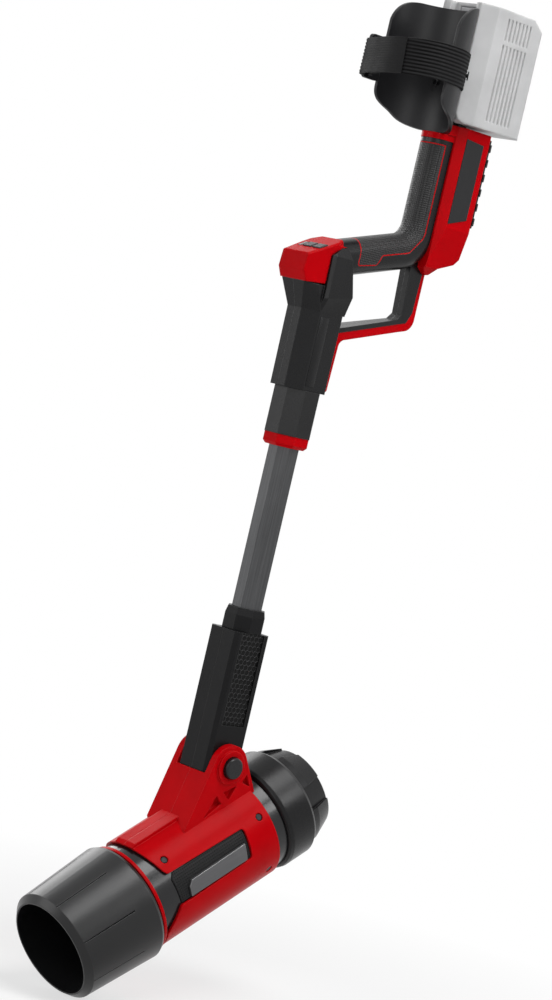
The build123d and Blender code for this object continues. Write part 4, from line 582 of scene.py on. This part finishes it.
def path_curve(points):
    """A smooth plan line through points, each with the way it heads and the reach of its handles."""
    bpy.ops.curve.primitive_bezier_curve_add()
    line = bpy.context.object
    spline = line.data.splines[0]
    spline.bezier_points.add(len(points) - 2)
    for bend, (x, y, head_x, head_y, back, ahead) in zip(spline.bezier_points, points):
        head = Vector((head_x, head_y, BAND_SLANT * head_y)).normalized()
        bend.handle_left_type = "FREE"
        bend.handle_right_type = "FREE"
        bend.co = Vector((x, y, BAND_MID + BAND_SLANT * (y - BAND_MID_Y)))
        bend.handle_left = bend.co - head * back
        bend.handle_right = bend.co + head * ahead
    spline.resolution_u = 32
    line.data.dimensions = "3D"
    line.data.twist_mode = "Z_UP"
    line.data.use_path = True
    return line, spline.calc_length()


def webbing(name, points, ribs, rise, thick, steps):
    """A flat band laid along a plan line, with ribs along its length."""
    bpy.ops.object.select_all(action="DESELECT")
    line, length = path_curve(points)
    bpy.ops.object.select_all(action="DESELECT")
    bpy.ops.mesh.primitive_grid_add(x_subdivisions=steps, y_subdivisions=RIB_ROWS * ribs + 1, size=1)
    band = bpy.context.object
    band.name = name
    band.data.name = name
    bpy.ops.object.mode_set(mode="EDIT")
    bpy.ops.mesh.select_all(action="SELECT")
    bpy.ops.transform.resize(value=(length, BAND_WIDE, 1))
    bpy.ops.transform.translate(value=(length / 2, 0, 0))
    bpy.ops.transform.rotate(value=radians(-90), orient_axis="X", center_override=(0, 0, 0))
    bpy.ops.mesh.select_all(action="DESELECT")
    bpy.ops.object.mode_set(mode="OBJECT")
    rows = sorted({round(v.co.z, 6) for v in band.data.vertices})
    tops = {z for k, z in enumerate(rows) if k % RIB_ROWS in (1, 2)}
    for v in band.data.vertices:
        v.select = round(v.co.z, 6) in tops
    bpy.ops.object.mode_set(mode="EDIT")
    bpy.ops.transform.translate(value=(0, rise, 0))
    bpy.ops.object.mode_set(mode="OBJECT")
    wall = band.modifiers.new("wall", "SOLIDIFY")
    wall.thickness = thick
    wall.offset = 0
    bpy.ops.object.modifier_apply(modifier="wall")
    lay = band.modifiers.new("lay", "CURVE")
    lay.object = line
    bpy.ops.object.modifier_apply(modifier="lay")
    bpy.data.objects.remove(line)
    bpy.ops.object.mode_set(mode="EDIT")
    bpy.ops.mesh.select_all(action="SELECT")
    bpy.ops.mesh.normals_make_consistent(inside=False)
    bpy.ops.object.mode_set(mode="OBJECT")
    bpy.ops.object.shade_smooth_by_angle(angle=radians(50))
    return band, length


strap_band, band_length = webbing(
    "strap_band",
    [
        (-0.03525, 0.03106, 0.616, 0.788, 0.01, 0.0099),
        (-0.0115, 0.04784, 0.948, 0.317, 0.0099, 0.0099),
        (0.01756, 0.04873, 0.966, -0.259, 0.0099, 0.014),
        (0.0412, 0.004, 0.0, -1.0, 0.022, 0.016),
        (0.0270, -0.039, -0.42, -0.91, 0.012, 0.003),
        (0.0226, -0.0478, -0.05, -1.0, 0.004, 0.0022),
        (0.0266, -0.0526, 1.0, 0.0, 0.0024, 0.0024),
        (0.0308, -0.0475, 0.15, 1.0, 0.0026, 0.002),
        (0.0325, -0.0410, 0.35, 0.94, 0.002, 0.002),
    ],
    ribs=RIBS,
    rise=RIB_RISE,
    thick=BAND_THICK,
    steps=220,
)


def woven(place, tone):
    """Ribs along the band and fine threads across it; the colour carries painted shade in the grooves between
    the ribs and the threads' own tone.
    """
    height = tone.node("ShaderNodeSeparateXYZ", None, {"Vector": place}, "Z")
    rib = tone.math("SINE", (height - BAND_MID) * (tau * RIBS / BAND_WIDE)) * 0.5 + 0.5
    thread = tone.node("ShaderNodeTexNoise", None, {"Vector": place, "Scale": 1800.0, "Detail": 2.0})
    return rib * 0.5 + thread * 0.5, (rib * 1.1 + thread * 0.5 - 0.25).clamped()


elastic = moulded(
    "elastic",
    (0.02, 0.02, 0.021, 1),
    (0.03, 0.03, 0.03, 1),
    rough=0.7,
    grain=2200.0,
    lift=0.0004,
    sheen=0.08,
    pattern=woven,
    hollow_shade_and_line_tone=0.03,
)
strap_band.data.materials.append(elastic)
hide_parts("strap")
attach(strap_band, "handle")

hook_tape, _ = webbing(
    "hook_tape",
    [
        (0.0322, -0.0470, 0.20, 0.98, 0.002, 0.004),
        (0.0386, -0.0250, 0.22, 0.97, 0.008, 0.009),
        (0.0437, 0.004, 0.0, 1.0, 0.010, 0.007),
        (0.0420, 0.0185, -0.2, 0.98, 0.004, 0.002),
    ],
    ribs=14,
    rise=0.0001,
    thick=0.0013,
    steps=60,
)
tape_black = moulded(
    "tape_black",
    (0.013, 0.013, 0.0135, 1),
    (0.03, 0.03, 0.03, 1),
    rough=0.6,
    grain=1600.0,
    lift=0.0002,
    sheen=0.08,
)
hook_tape.data.materials.append(tape_black)
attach(hook_tape, "handle")

# Stage: a pale matt floor just under the tool, which fades to white away from it, and a white studio.
# The studio's own light is dim; soft lamps above, in front and on each side light the tool.
FLOOR_GAP = 0.0005
SHADOW_REACH, SHADOW_FADE, SHADOW_DEPTH = 0.3, 0.45, 0.35
STUDIO_LIGHT = 0.12


def seen_rays(tone):
    """One for the rays that look at the background: the camera's, mirrored ones and those through glass."""
    camera_ray = tone.node("ShaderNodeLightPath", output="Is Camera Ray")
    mirrored = camera_ray.sibling("Is Glossy Ray")
    through = camera_ray.sibling("Is Transmission Ray")
    return (camera_ray + mirrored + through).clamped()


bpy.ops.object.select_all(action="DESELECT")
bpy.ops.mesh.primitive_plane_add(size=14, location=(0, 0, cad_box[0][2] - FLOOR_GAP))
floor = bpy.context.object
floor.name = "floor"
floor_pale = bpy.data.materials.new("floor_pale")
floor_pale.use_nodes = True
floor_tree = floor_pale.node_tree
floor_tree.nodes.remove(floor_tree.nodes["Principled BSDF"])
ground = Tone(floor_tree)
spot = ground.node("ShaderNodeTexCoord", output="Object")
reach = ground.node("ShaderNodeVectorMath", {"operation": "LENGTH"}, {0: spot}, "Value")
fade = ((reach - SHADOW_REACH) / SHADOW_FADE).clamped()
matt = ground.node("ShaderNodeBsdfDiffuse", None, {"Color": (0.8, 0.8, 0.8, 1)})
white = ground.node("ShaderNodeEmission", None, {"Color": (1, 1, 1, 1), "Strength": 1.0})
share = seen_rays(ground) * (fade * SHADOW_DEPTH + (1 - SHADOW_DEPTH))
floor_mix = ground.node("ShaderNodeMixShader", None, {0: share, 1: matt, 2: white})
floor_tree.links.new(floor_mix.socket, floor_tree.nodes["Material Output"].inputs["Surface"])
floor.data.materials.append(floor_pale)

world = bpy.data.worlds.new("studio")
bpy.context.scene.world = world
world.use_nodes = True
sky = Tone(world.node_tree)
dim = sky.node("ShaderNodeBackground", None, {"Color": (1, 1, 1, 1), "Strength": STUDIO_LIGHT})
bright = sky.node("ShaderNodeBackground", None, {"Color": (1, 1, 1, 1), "Strength": 1.0})
sky_mix = sky.node("ShaderNodeMixShader", None, {0: seen_rays(sky), 1: dim, 2: bright})
world.node_tree.links.new(sky_mix.socket, world.node_tree.nodes["World Output"].inputs["Surface"])


def softbox(name, place, aim, wide, high, power):
    """A soft lamp turned towards a point."""
    bpy.ops.object.light_add(type="AREA", location=place)
    lamp = bpy.context.object
    lamp.name = name
    lamp.data.shape = "RECTANGLE"
    lamp.data.size = wide
    lamp.data.size_y = high
    lamp.data.energy = power
    lamp.rotation_euler = (Vector(aim) - Vector(place)).to_track_quat("-Z", "Y").to_euler()


softbox("key_lamp", (0.15, 0.9, 1.9), (0.1, 0, -0.5), 1.3, 1.3, 40)
softbox("front_lamp", (2.5, 2.1, 0.6), (0.1, 0, -0.35), 1.5, 1.6, 16)
softbox("fill_lamp", (2.3, -1.2, 0.1), (0, 0, -0.3), 1.5, 1.8, 20)
softbox("side_lamp", (-0.65, 1.8, 1.1), (0, 0, -0.4), 0.8, 0.8, 18)
softbox("back_lamp", (-0.3, -2.3, 0.7), (0, 0, -0.2), 1.6, 1.6, 26)

# Camera: three metres away at the front left of the tool, looking slightly down on it.
# It is turned about its own axis, because the tool leans in the photograph.
SIDE, LIFT, ROLL = radians(45.85), radians(2.54), radians(13.1)
AWAY, SLIDE_RIGHT, SLIDE_UP = 3.0, 0.06479, 0.26023
HINGE = Vector((0.063, 0, -0.531))
back = Vector((cos(LIFT) * cos(SIDE), cos(LIFT) * sin(SIDE), sin(LIFT)))
level = Vector((-sin(SIDE), cos(SIDE), 0))
plumb = back.cross(level)
right = level * cos(ROLL) + plumb * sin(ROLL)
up = plumb * cos(ROLL) - level * sin(ROLL)
stand = HINGE + right * SLIDE_RIGHT + up * SLIDE_UP + back * AWAY
bpy.ops.object.camera_add()
camera = bpy.context.object
camera.name = "photo_camera"
turn = Matrix((right, up, back)).transposed().to_4x4()
camera.matrix_world = Matrix.Translation(stand) @ turn
camera.data.lens = 108
camera.data.sensor_width = 36
camera.data.sensor_fit = "AUTO"
bpy.context.scene.camera = camera
bpy.context.scene.view_settings.view_transform = "Standard"
